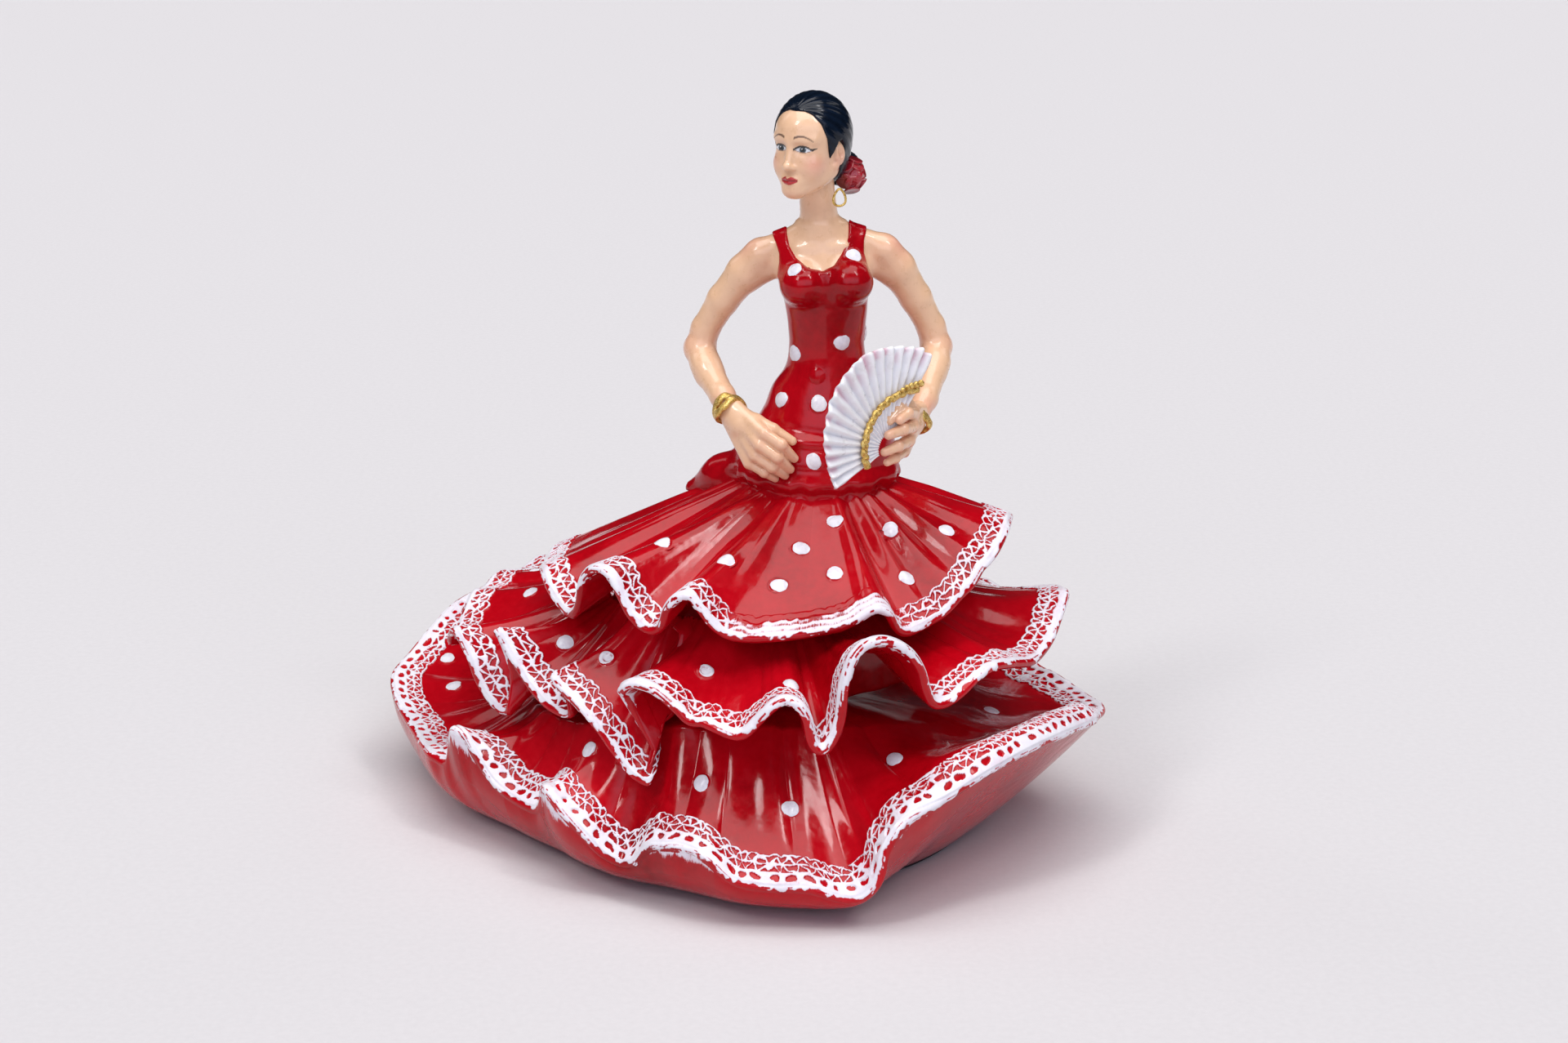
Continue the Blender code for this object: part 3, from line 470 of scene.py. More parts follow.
# bearing, height and half width in degrees of the folds that stand up, and of the grooves between them
FOLDS_UPPER = ((-166, 0.9, 4), (-158, -0.9, 3.5), (-150, 1.3, 5), (-141.5, -1.2, 3.5), (-132, 1.5, 5.5), (-121, -1.3, 4.5), (-110.5, 1.1, 3.2),
               (-94, -0.35, 9), (-78, 1.15, 2.8), (-70, -1.5, 3.2), (-63.5, 0.8, 2.2), (-59.5, -0.8, 1.8), (-54.5, 1.2, 3.0), (-47.5, -1.0, 2.5),
               (-41, 0.8, 3.0), (-33, -0.6, 3.0), (-25, 0.8, 4.0))
SHAPE_UPPER = (10.0, 0.2, 1.25, 1.7, 0.7, (1.05, 15.0, 12), (), FOLDS_UPPER, (-168, -26))
lower = Flounce(LOWER, (0, 0), SEAM_LOWER, 1130, *SHAPE_LOWER)
middle = Flounce(MIDDLE, (0, 0), SEAM_MIDDLE, 1300, *SHAPE_MIDDLE)
upper = Flounce(UPPER, (9, 0), SEAM_UPPER, 1100, *SHAPE_UPPER)


def bowl_rows(f, start, us):
    """Underside of the lowest tier: from the rim (u 0) down and in to the foot (u 1), its folds dying away on the way."""
    even = blur(start, 11.0, f.step)
    foot = 1.0 + (even[:, :2] - 1.0) * 0.67
    rows = []
    deg = np.degrees(np.arctan2(even[:, 1], even[:, 0]))
    straight = 0.80 * smoothstep(-75, -40, deg) * smoothstep(75, 45, deg)
    for u in us:
        w = (1 - u) ** 1.1
        p = even + (start - even) * w
        out = max(0.0, math.cos(0.5 * math.pi * u)) ** 0.75
        out = out + ((1 - u) ** 1.1 - out) * straight
        drop = 1 - math.sin(0.5 * math.pi * u)
        drop = drop + ((1 - u) - drop) * straight
        xy = foot + (p[:, :2] - foot) * out[:, None]
        z = 0.95 + (p[:, 2] - 0.95) * drop
        rows.append(np.concatenate([xy, z[:, None]], 1))
    return np.array(rows)


def make_lower():
    f = lower
    n = f.n
    tops = f.at(np.linspace(0, 1, 46))
    arc = f.rim(np.linspace(15, 115, 8))
    bowl = bowl_rows(f, arc[-1], np.linspace(0, 1, 34)[1:])
    grid = np.concatenate([tops, arc, bowl])
    r = len(grid)
    v = grid.reshape(-1, 3)
    faces = quads(r, n, flip=True)
    # closing fans, underneath and under the middle flounce
    under = np.array([[v[-n:, 0].mean(), v[-n:, 1].mean(), 0.95]])
    top = np.array([[v[:n, 0].mean(), v[:n, 1].mean(), v[:n, 2].mean() + 3]])
    j = np.arange(n)
    last = (r - 1) * n
    t1 = np.stack([last + j, last + (j + 1) % n, np.full(n, len(v))], 1)[:, ::-1]
    t2 = np.stack([j, (j + 1) % n, np.full(n, len(v) + 1)], 1)
    v = np.concatenate([v, under, top])
    return build("skirt_lower_flounce", v, faces, MAT_RED, ("skirt_base",), tris=np.concatenate([t1, t2]))


def make_ruffle(name, f, node, t_in=0.12):
    tops = f.at(np.linspace(0, 1, 46))
    arc = f.rim(np.linspace(15, 180, 9))
    ts = np.linspace(1, t_in, 22)[1:]
    p, out, along, nrm = f.frame_at(ts)
    thick = f.wall + (1 - ts[:, None, None]) * 1.2
    under = p - nrm * thick
    grid = np.concatenate([tops, arc, under])
    v = grid.reshape(-1, 3)
    r = len(grid)
    faces = quads(r, f.n, flip=True)
    j = np.arange(f.n)
    last = (r - 1) * f.n
    close = np.stack([last + j, last + (j + 1) % f.n, (j + 1) % f.n, j], 1)[:, ::-1]
    return build(name, v, np.concatenate([faces, close]), MAT_RED, (node,))


make_lower()
make_ruffle("skirt_middle_flounce", middle, "flounce_middle")
make_ruffle("skirt_upper_flounce", upper, "flounce_upper")
print("hem lengths", lower.length, middle.length, upper.length)

# ================================================================ lace relief on the hems
def tri_wave(x):
    return np.abs(2 * (x - np.floor(x)) - 1)


def lace_field(f, vs, kind):
    """Height (mm) and paint (0 to 1) of the lace at distances vs from the hem, for every column of f."""
    n = f.n
    u = f.u[None, :]
    v = np.asarray(vs, float)[:, None]
    wob = noise1(n, f.step, 5.0, 11, 0.6)[None] + noise1(n, f.step, 1.6, 12, 0.20)[None]
    uu = u + wob + 0.34 * np.sin(v * 1.7 + wob * 3)
    vv = v + noise1(n, f.step, 3.0, 13, 0.24)[None] + noise1(n, f.step, 1.1, 14, 0.09)[None] * (v > 1)
    pts = np.stack([np.broadcast_to(u, (len(vs), n)).ravel(), np.broadcast_to(v, (len(vs), n)).ravel(), np.zeros(len(vs) * n)], 1)
    blot = noise3(pts, 1.3, 5).reshape(len(vs), n)
    worn = noise3(pts, 4.5, 9).reshape(len(vs), n)
    w = 0.265 * (1 + 0.40 * blot) + 0.16 * smoothstep(0.35, 1.1, blot)
    rim_w, first, second, last = (2.9, 2.9, 4.9, 6.5) if kind == "eyelet" else (0.55, 0.75, 2.9, 4.8)

    def whole(period):
        return f.length / round(f.length / period)

    p1, p2, p3 = whole(3.2), whole(2.9), whole(3.1)
    z1 = first + (second - first) * tri_wave(uu / p1)
    z2 = second + (last - second) * tri_wave(uu / p2 + 0.3)
    c1 = 1 / math.hypot(1, 2 * (second - first) / p1)
    c2 = 1 / math.hypot(1, 2 * (last - second) / p2)
    scallop = last + 0.10 + 0.55 * np.abs(np.sin(math.pi * uu / p3))
    d = np.minimum.reduce([np.abs(vv - first), np.abs(vv - second), np.abs(vv - z1) * c1, np.abs(vv - z2) * c2, np.abs(vv - scallop) * 0.85])
    inside = (vv > first) & (vv < scallop + 0.5)
    d = np.where(inside, d, 9.0)
    d = np.minimum(d, np.maximum(0.0, vv - rim_w))          # solid white edge
    if kind == "eyelet":
        pe = whole(3.5)
        k = uu / pe
        e = np.hypot((k - np.floor(k) - 0.5) * pe / 1.12, (vv - 1.65) / 0.84) * 0.9
        d = np.where(e < 1.0, np.maximum(d, (1.0 - e) * 1.2), d)
    h = 0.40 * np.sqrt(np.clip(1 - (d / (w * 1.25)) ** 2, 0, 1))
    paint = smoothstep(1.25, 0.55, d / w)
    if kind == "eyelet":
        filled = noise1(n, f.step, 9.0, 21, 1.0)[None] > 1.25      # a few eyelets are flooded with paint
        paint = np.where(filled & (vv < rim_w), np.maximum(paint, 0.9), paint)
    # brushed stretch without holes
    if kind == "brushed":
        bearing = np.degrees(np.arctan2(f.hem[:, 1] - 0.0, f.hem[:, 0] - 9.0))[None]
        stretch = smoothstep(-108, -98, bearing) * smoothstep(-50, -60, bearing)
        groove = 0.5 + 0.5 * np.sin(vv * 4.2 + 1.2 * wob)
        hb = 0.10 + 0.10 * groove * (vv < 4.2)
        pb = smoothstep(4.9, 2.6, vv + 0.9 * blot) * (0.60 + 0.4 * groove)
        h = h * (1 - stretch) + hb * stretch
        paint = paint * (1 - stretch) + pb * stretch
    fade = smoothstep(scallop + 1.0, scallop + 0.2, vv)
    h = h * np.where(vv < scallop, 1, fade) - 0.10 * (1 - smoothstep(0, 1.0, h / 0.2)) * (vv > rim_w * 0.2)
    paint = paint * (0.90 + 0.22 * worn)
    return h + 0.03 * blot * (paint > 0.5), np.clip(paint, 0, 1)


def make_lace(name, table, centre, seam, n, args, kind, width, under_mm, lower_tier=False):
    f = Flounce(table, centre, seam, n, *args)
    vs = np.arange(width, 0.0, -0.235)
    top = f.band(vs)
    end = 115 if lower_tier else 180
    phis = np.linspace(0, end, 9)
    arc = f.rim(phis)
    if lower_tier:
        us = np.linspace(0, 0.30, 15)[1:]
        below = bowl_rows(f, arc[-1], us)
    else:
        ts = np.linspace(1, 0.82, 10)[1:]
        p, out, along, nrm = f.frame_at(ts)
        below = p - nrm * (f.wall + (1 - ts[:, None, None]) * 1.2)
    grid = np.concatenate([top, arc, below])
    nrm = -grid_normals(grid)
    h, paint = lace_field(f, vs, kind)
    q_arc = -np.radians(phis) * f.wall / 2
    d_below = np.cumsum(np.linalg.norm(np.diff(np.concatenate([arc[-1:], below]), axis=0), axis=2), 0)
    seedn = noise1(n, f.step, 2.2, 31, 1.0)
    crest = smoothstep(-0.5, 3.5, f.hem[:, 2] - f.mean[:, 2])
    reach = under_mm * crest * (1 + 0.40 * noise1(n, f.step, 7.0, 32) + 0.30 * noise1(n, f.step, 0.9, 33))
    reach = np.clip(reach, 0.02, None)
    turn = 44 + 24 * noise1(n, f.step, 3.5, 34) + 16 * noise1(n, f.step, 0.9, 35) + 120 * crest
    p_arc = smoothstep(turn[None] + 22, turn[None] - 22, phis[:, None] + 0 * turn[None]) * np.clip(0.95 + 0.08 * seedn[None], 0, 1)
    streak = np.stack([noise1(n, f.step, 3.2, 60 + i, 0.8) + noise1(n, f.step, 0.8, 80 + i, 0.5) for i in range(len(phis))])
    worn = 0.60 if kind == "eyelet" else 0.90
    p_arc = p_arc * (1 - worn * smoothstep(0.05, 0.95, streak) * smoothstep(5, 35, phis[:, None]))
    h_arc = (0.10 + 0.05 * seedn[None]) * p_arc
    p_below = smoothstep(1.25, 0.0, d_below / reach[None]) * 0.80
    h_below = 0.07 * p_below
    height = np.concatenate([h, h_arc, h_below]) + 0.03
    height[-1] = -0.15
    height[0] = -0.15
    pmask = np.concatenate([paint, p_arc, p_below])
    v = grid + nrm * height[:, :, None]
    uq = np.broadcast_to(f.u[None], pmask.shape)
    vq = np.concatenate([np.broadcast_to(vs[:, None], paint.shape), np.broadcast_to(q_arc[:, None], p_arc.shape), q_arc[-1] - d_below])
    hem = np.stack([uq, vq, np.zeros_like(uq)], -1).reshape(-1, 3)
    j = np.arange(n)
    last = (len(grid) - 1) * n
    close = np.stack([last + j, last + (j + 1) % n, (j + 1) % n, j], 1)[:, ::-1]
    return build(name, v.reshape(-1, 3), np.concatenate([quads(len(grid), n, flip=True), close]), MAT_LACE, (),
                 attrs={"paint": pmask.ravel(), "hem": hem})


make_lace("lace_lower", LOWER, (0, 0), SEAM_LOWER, 2500, SHAPE_LOWER, "eyelet", 7.4, 3.2, True)
make_lace("lace_middle", MIDDLE, (0, 0), SEAM_MIDDLE, 2500, SHAPE_MIDDLE, "net", 6.1, 3.0)
make_lace("lace_upper", UPPER, (9, 0), SEAM_UPPER, 1900, SHAPE_UPPER, "brushed", 6.1, 1.6)

# ================================================================ implicit modelling
def ellipsoid(p, c, r, axes=None):
    q = p - np.array(c, float)
    if axes is not None:
        q = q @ axes
    r = np.array(r, float)
    k0 = np.sqrt(((q / r) ** 2).sum(1))
    k1 = np.sqrt(((q / (r * r)) ** 2).sum(1))
    return k0 * (k0 - 1.0) / np.maximum(k1, 1e-9)


def cone(p, a, b, ra, rb):
    a, b = np.array(a, float), np.array(b, float)
    ab = b - a
    t = np.clip((p - a) @ ab / (ab @ ab), 0, 1)
    d = p - a - t[:, None] * ab
    return np.sqrt((d * d).sum(1)) - (ra + (rb - ra) * t)


def join(a, b, k):
    h = np.clip(0.5 + 0.5 * (b - a) / k, 0, 1)
    return b + (a - b) * h - k * h * (1 - h)


def cut(a, b, k):
    return -join(-a, b, k)


def both(a, b, k):
    return -join(-a, -b, k)


def limb(p, pts, k=0.8):
    f = None
    for (a, ra), (b, rb) in zip(pts[:-1], pts[1:]):
        g = cone(p, a, b, ra, rb)
        f = g if f is None else join(f, g, k)
    return f


def smooth_table(table, n=400):
    """The rows of a table joined by a smooth curve in its first column."""
    t = np.array(table, float)
    z = t[:, 0]
    m = np.gradient(t[:, 1:], z, axis=0)
    zz = np.linspace(z[0], z[-1], n)
    i = np.clip(np.searchsorted(z, zz, side="right") - 1, 0, len(z) - 2)
    h = (z[i + 1] - z[i])[:, None]
    u = ((zz - z[i])[:, None]) / h
    p0, p1, m0, m1 = t[i, 1:], t[i + 1, 1:], m[i] * h, m[i + 1] * h
    out = (2 * u**3 - 3 * u**2 + 1) * p0 + (u**3 - 2 * u**2 + u) * m0 + (-2 * u**3 + 3 * u**2) * p1 + (u**3 - u**2) * m1
    return zz, out


def loft(p, tab):
    """Oval sections stacked in height, flat at both ends."""
    zz, c = tab
    z = np.clip(p[:, 2], zz[0], zz[-1])
    cx, cy, a, b = (np.interp(z, zz, c[:, k]) for k in range(4))
    x, y = p[:, 0] - cx, p[:, 1] - cy
    k0 = np.sqrt((x / a) ** 2 + (y / b) ** 2)
    k1 = np.sqrt((x / a**2) ** 2 + (y / b**2) ** 2)
    f = k0 * (k0 - 1) / np.maximum(k1, 1e-6)
    end = np.maximum(zz[0] - p[:, 2], p[:, 2] - zz[-1])
    return np.maximum(f, end)


def outline(px, pz, poly):
    """Signed distance to a closed outline in a plane, negative inside."""
    poly = np.array(poly, float)
    d = np.full(len(px), 1e9)
    inside = np.zeros(len(px), bool)
    for (x0, z0), (x1, z1) in zip(poly, np.roll(poly, -1, 0)):
        ex, ez = x1 - x0, z1 - z0
        wx, wz = px - x0, pz - z0
        t = np.clip((wx * ex + wz * ez) / (ex * ex + ez * ez), 0, 1)
        d = np.minimum(d, (wx - t * ex) ** 2 + (wz - t * ez) ** 2)
        hit = ((z0 <= pz) & (z1 > pz)) | ((z1 <= pz) & (z0 > pz))
        if z1 != z0:
            inside ^= hit & (px < x0 + (pz - z0) / (z1 - z0) * ex)
    d = np.sqrt(d)
    return np.where(inside, -d, d)


def net(fn, lo, hi, h, relax=2):
    """Closed surface where fn is zero, as quads from a grid of the given step."""
    lo, hi = np.array(lo, float), np.array(hi, float)
    n = np.ceil((hi - lo) / h).astype(int) + 1
    # coarse pass, then only the blocks the surface can cross
    b = 6
    nb = np.ceil((n - 1) / b).astype(int)
    n = nb * b + 1
    F = np.full(n, 1.0)
    cx, cy, cz = (np.arange(k) for k in nb)
    C = np.stack(np.meshgrid(cx, cy, cz, indexing="ij"), -1).reshape(-1, 3)
    mid = lo + (C * b + b / 2) * h
    fm = fn(mid)
    reach = b * h * 0.87 * 1.9 + 0.6
    F_block = fm
    near = np.abs(fm) < reach
    sign = np.where(fm < 0, -1.0, 1.0).reshape(nb)
    F[:-1, :-1, :-1] = np.repeat(np.repeat(np.repeat(sign, b, 0), b, 1), b, 2)
    todo = C[near]
    mark = np.zeros(n, bool)
    for ox in range(b + 1):
        for oy in range(b + 1):
            for oz in range(b + 1):
                mark[todo[:, 0] * b + ox, todo[:, 1] * b + oy, todo[:, 2] * b + oz] = True
    idx = np.argwhere(mark)
    vals = np.empty(len(idx))
    for s in range(0, len(idx), 400000):
        vals[s:s + 400000] = fn(lo + idx[s:s + 400000] * h)
    F[mark] = vals
    F[[0, -1]] = np.maximum(F[[0, -1]], 0.01)
    F[:, [0, -1]] = np.maximum(F[:, [0, -1]], 0.01)
    F[:, :, [0, -1]] = np.maximum(F[:, :, [0, -1]], 0.01)
    F = np.where(F == 0, 1e-9, F)
    S = F < 0
    m = n - 1
    acc = np.zeros((*m, 3))
    cnt = np.zeros(m, int)
    offs = [(0, 0), (0, 1), (1, 0), (1, 1)]
    for ax in range(3):
        o1, o2 = [k for k in range(3) if k != ax]
        for u, w in offs:
            sl0, sl1 = [None] * 3, [None] * 3
            for k, o in ((o1, u), (o2, w)):
                sl0[k] = sl1[k] = slice(o, o + m[k])
            sl0[ax], sl1[ax] = slice(0, m[ax]), slice(1, m[ax] + 1)
            A, B = F[tuple(sl0)], F[tuple(sl1)]
            x = S[tuple(sl0)] != S[tuple(sl1)]
            ii = np.nonzero(x)
            t = A[ii] / (A[ii] - B[ii])
            pos = np.zeros((len(t), 3))
            pos[:, ax], pos[:, o1], pos[:, o2] = t, u, w
            acc[ii] += pos
            cnt[ii] += 1
    act = cnt > 0
    ids = np.full(m, -1)
    ids[act] = np.arange(act.sum())
    cells = np.argwhere(act)
    V = lo + (cells + acc[act] / cnt[act][:, None]) * h
    Q = []
    for ax in range(3):
        o1, o2 = [k for k in range(3) if k != ax]
        sl0, sl1 = [slice(1, m[k]) for k in range(3)], [slice(1, m[k]) for k in range(3)]
        sl0[ax], sl1[ax] = slice(0, m[ax]), slice(1, m[ax] + 1)
        A, B = S[tuple(sl0)], S[tuple(sl1)]
        e = np.argwhere(A != B)
        inside_first = A[tuple(e.T)]
        base = e + 1
        base[:, ax] = e[:, ax]

        def cell(d1, d2):
            c = base.copy()
            c[:, o1] += d1
            c[:, o2] += d2
            return ids[tuple(c.T)]

        q = np.stack([cell(-1, -1), cell(0, -1), cell(0, 0), cell(-1, 0)], 1)
        flip = inside_first if ax != 1 else ~inside_first
        q[~flip] = q[~flip][:, ::-1]
        Q.append(q)
    Q = np.concatenate(Q)
    e = h * 0.35
    for _ in range(relax):
        f0 = fn(V)
        g = np.stack([fn(V + d) - fn(V - d) for d in np.eye(3) * e], 1) / (2 * e)
        g2 = np.maximum((g * g).sum(1), 0.2)
        V = V - np.clip(f0 / g2, -0.5 * h, 0.5 * h)[:, None] * g
    return V, Q


def add_net(name, fn, lo, hi, h, mat, replaces=(), paint=None, relax=2):
    V, Q = net(fn, lo, hi, h, relax)
    attrs = paint(V) if paint else None
    return build(name, V, Q, mat, replaces, attrs=attrs)


def rot_z(deg):
    a = math.radians(deg)
    return np.array([[math.cos(a), -math.sin(a), 0], [math.sin(a), math.cos(a), 0], [0, 0, 1]])


def rot_x(deg):
    a = math.radians(deg)
    return np.array([[1, 0, 0], [0, math.cos(a), -math.sin(a)], [0, math.sin(a), math.cos(a)]])


def unit(v):
    v = np.array(v, float)
    return v / np.linalg.norm(v)


def spot(p, c, r):
    """Soft round patch: 1 in the middle, 0 outside."""
    return np.exp(-(((p - np.array(c, float)) / np.array(r, float)) ** 2).sum(1))


# ---------------------------------------------------------------- painted materials
def painted(name, rough=(0.22, 0.38), coat=0.35, fleck=0.10, tint_name="tint", grain=1.6, shine=0.5):
    """Paint whose colour is carried by the surface and mottled a little."""
    m, nt, b = new_mat(name)
    p = coords(nt)
    a = nt.nodes.new("ShaderNodeAttribute")
    a.attribute_name = tint_name
    n = noise_tex(nt, p, 0.45, 3.0, 0.55)
    f = noise_tex(nt, p, 3.2, 3.0, 0.6)
    lo = ramp(nt, [(0.25, (1 - fleck, 1 - fleck * 1.3, 1 - fleck * 1.6)), (0.75, (1.0, 1.0, 1.0))])
    nt.links.new(n, lo.inputs[0])
    c = mix_rgb(nt, 1.0, a.outputs["Color"], lo.outputs[0], "MULTIPLY")
    nt.links.new(c, b.inputs["Base Color"])
    nt.links.new(map_range(nt, n, 0.3, 0.7, *rough), b.inputs["Roughness"])
    n1 = bump(nt, n, 0.20, 0.0004)
    n2 = bump(nt, f, 0.16, 0.00010 * grain, n1)
    nt.links.new(n2, b.inputs["Normal"])
    b.inputs["Coat Weight"].default_value = coat
    b.inputs["Coat Roughness"].default_value = 0.07
    b.inputs["Specular IOR Level"].default_value = shine
    return m


MAT_SKIN = painted("skin_paint", (0.26, 0.38), 0.55, 0.07)
MAT_HAIR = painted("hair_paint", (0.10, 0.20), 0.28, 0.20, shine=0.12)
MAT_ROSE = painted("rose_paint", (0.18, 0.32), 0.55, 0.30)
MAT_FAN = painted("fan_paint", (0.26, 0.42), 0.35, 0.06)
MAT_DOT = painted("dot_paint", (0.16, 0.26), 0.55, 0.04, grain=0.6)


def gold():
    m, nt, b = new_mat("gold_paint")
    p = coords(nt)
    n = noise_tex(nt, p, 1.6, 4.0, 0.65)
    f = noise_tex(nt, p, 6.0, 2.0, 0.5)
    c = ramp(nt, [(0.28, (0.22, 0.08, 0.015)), (0.40, (0.55, 0.33, 0.07)), (0.58, (0.78, 0.55, 0.16)), (0.76, (0.95, 0.80, 0.40))])
    nt.links.new(n, c.inputs[0])
    nt.links.new(c.outputs[0], b.inputs["Base Color"])
    b.inputs["Metallic"].default_value = 0.65
    nt.links.new(map_range(nt, f, 0.3, 0.7, 0.16, 0.36), b.inputs["Roughness"])
    nt.links.new(bump(nt, f, 0.5, 0.00012, bump(nt, n, 0.4, 0.0004)), b.inputs["Normal"])
    return m


MAT_GOLD = gold()

# ================================================================ body and dress
TORSO = smooth_table([(74, 17.5, 1.0, 21.0, 17.2), (77, 17.8, 0.8, 19.3, 16.4), (79.5, 18.3, 0.6, 18.0, 15.7), (81.5, 18.3, 0.6, 17.5, 15.4),
                      (84.4, 18.5, 0.6, 17.0, 14.8), (88, 18.9, 0.8, 16.1, 13.8), (92, 19.4, 1.0, 14.7, 12.4), (96, 19.9, 1.1, 13.0, 10.8),
                      (101, 20.1, 1.2, 11.2, 9.0), (104.5, 20.3, 1.2, 9.0, 7.9), (110, 20.2, 1.0, 7.8, 6.8), (114, 20.2, 0.6, 8.0, 6.9),
                      (118, 20.1, 0.1, 8.4, 7.2), (121, 19.9, -0.2, 8.9, 7.4), (124.4, 19.6, 0.0, 9.6, 7.4), (127.5, 19.3, 0.5, 9.7, 6.9),
                      (130, 19.1, 1.0, 9.6, 6.0), (132.5, 18.9, 1.6, 8.8, 5.0), (134.5, 18.8, 1.8, 7.0, 4.4), (136.5, 18.7, 1.6, 4.6, 4.0)])
ARM_R = [((5.4, 3.0, 129.4), 3.7), ((2.2, 3.9, 125.4), 4.0), ((-2.6, 5.6, 119.0), 3.45), ((-6.6, 7.6, 112.0), 3.1), ((-7.9, 7.4, 107.4), 3.4),
         ((-5.6, 2.0, 103.0), 3.25), ((-2.6, -4.6, 99.6), 2.75), ((-0.7, -8.8, 97.2), 2.5)]
ARM_L = [((32.8, 3.0, 130.4), 3.7), ((35.6, 3.9, 126.4), 4.0), ((39.8, 5.8, 119.4), 3.45), ((43.4, 7.6, 112.4), 3.1), ((44.6, 7.4, 107.8), 3.4),
         ((43.4, 1.0, 103.6), 3.2), ((41.6, -6.0, 99.4), 2.75), ((39.6, -10.6, 96.8), 2.5)]
NECKLINE = [(-30, 60), (-30, 118), (4.0, 121.0), (7.9, 123.6), (9.2, 126.2), (9.7, 128.6), (9.7, 130.6), (9.0, 132.8), (7.8, 135.2), (7.6, 142), (11.4, 142), (11.4, 135.0),
            (12.0, 132.4), (13.5, 130.2), (16.0, 128.7), (19.2, 127.9), (21.6, 129.0), (23.3, 131.2), (24.7, 134.2), (25.2, 142), (29.4, 142), (29.0, 136.2),
            (28.2, 133.4), (28.2, 130.8), (29.2, 127.6), (31.0, 124.6), (36, 122), (60, 119), (60, 60)]


def torso(p):
    f = loft(p, TORSO)
    f = join(f, ellipsoid(p, (15.0, -4.6, 124.6), (4.7, 5.2, 4.6)), 1.8)
    f = join(f, ellipsoid(p, (25.0, -4.6, 125.2), (4.7, 5.2, 4.6)), 1.8)
    f = join(f, cone(p, (18.7, 1.8, 134.0), (17.8, 0.4, 146.5), 4.3, 3.75), 2.6)
    f = join(f, cone(p, (15.8, 2.2, 134.8), (6.6, 3.0, 130.4), 2.3, 2.9), 2.4)
    f = join(f, cone(p, (21.6, 2.2, 135.4), (31.6, 3.0, 131.4), 2.3, 2.9), 2.4)
    return f


def skin_body(p):
    f = torso(p)
    low = 118.0 - p[:, 2]
    f = np.maximum(f, low)
    f = join(f, cone(p, (17.4, -3.0, 131.9), (13.6, -2.2, 132.2), 0.35, 0.3), 1.8)
    f = join(f, cone(p, (20.6, -3.0, 132.1), (24.2, -2.2, 132.7), 0.35, 0.3), 1.8)
    f = join(f, cone(p, (9.6, 2.2, 127.4), (3.0, 4.0, 124.6), 2.4, 3.2), 2.0)
    f = join(f, cone(p, (29.2, 2.2, 127.8), (35.4, 4.0, 125.2), 2.4, 3.2), 2.0)
    for arm in (ARM_R, ARM_L):
        f = join(f, limb(p, arm, 1.0), 1.3)
    # crook of each elbow, and a muscle along the forearm
    f = join(f, ellipsoid(p, (-9.6, 9.2, 107.6), (1.6, 1.6, 2.0)), 1.4)
    f = join(f, ellipsoid(p, (46.4, 9.2, 107.8), (1.6, 1.6, 2.0)), 1.4)
    f = join(f, ellipsoid(p, (-6.6, 3.4, 104.8), (3.0, 3.4, 2.6)), 1.6)
    f = join(f, ellipsoid(p, (44.4, 3.4, 105.2), (3.0, 3.4, 2.6)), 1.6)
    return f


SKIN = np.array([0.850, 0.575, 0.385])
ROSY = np.array([0.820, 0.320, 0.250])
SHADE = np.array([0.560, 0.270, 0.150])


SKIN, SHADE = np.array(SKIN) * (1.06, 1.0, 0.92), np.array(SHADE) * (1.0, 0.90, 0.80)


def skin_paint(V):
    c = np.broadcast_to(SKIN, V.shape).copy()
    rosy = np.zeros(len(V))
    for s, r in (((-9.5, 9.0, 108.0), 4.2), ((46.2, 9.0, 108.0), 4.2), ((1.5, 2.0, 133.6), 3.6), ((36.6, 2.0, 133.0), 3.6), ((-1.5, -7.0, 98.0), 2.6), ((41.4, -9.0, 98.0), 2.6)):
        rosy = np.maximum(rosy, spot(V, s, (r, r, r)))
    shade = np.maximum(spot(V, (18.0, -3.4, 140.6), (4.2, 3.0, 2.4)), spot(V, (6.5, 1.0, 125.5), (3.4, 4.0, 3.6)))
    shade = np.maximum(shade, spot(V, (33.6, 1.0, 125.5), (3.4, 4.0, 3.6)))
    c += (ROSY - SKIN) * (0.62 * rosy)[:, None]
    c += (SHADE - SKIN) * (0.32 * shade)[:, None]
    return {"tint": c}


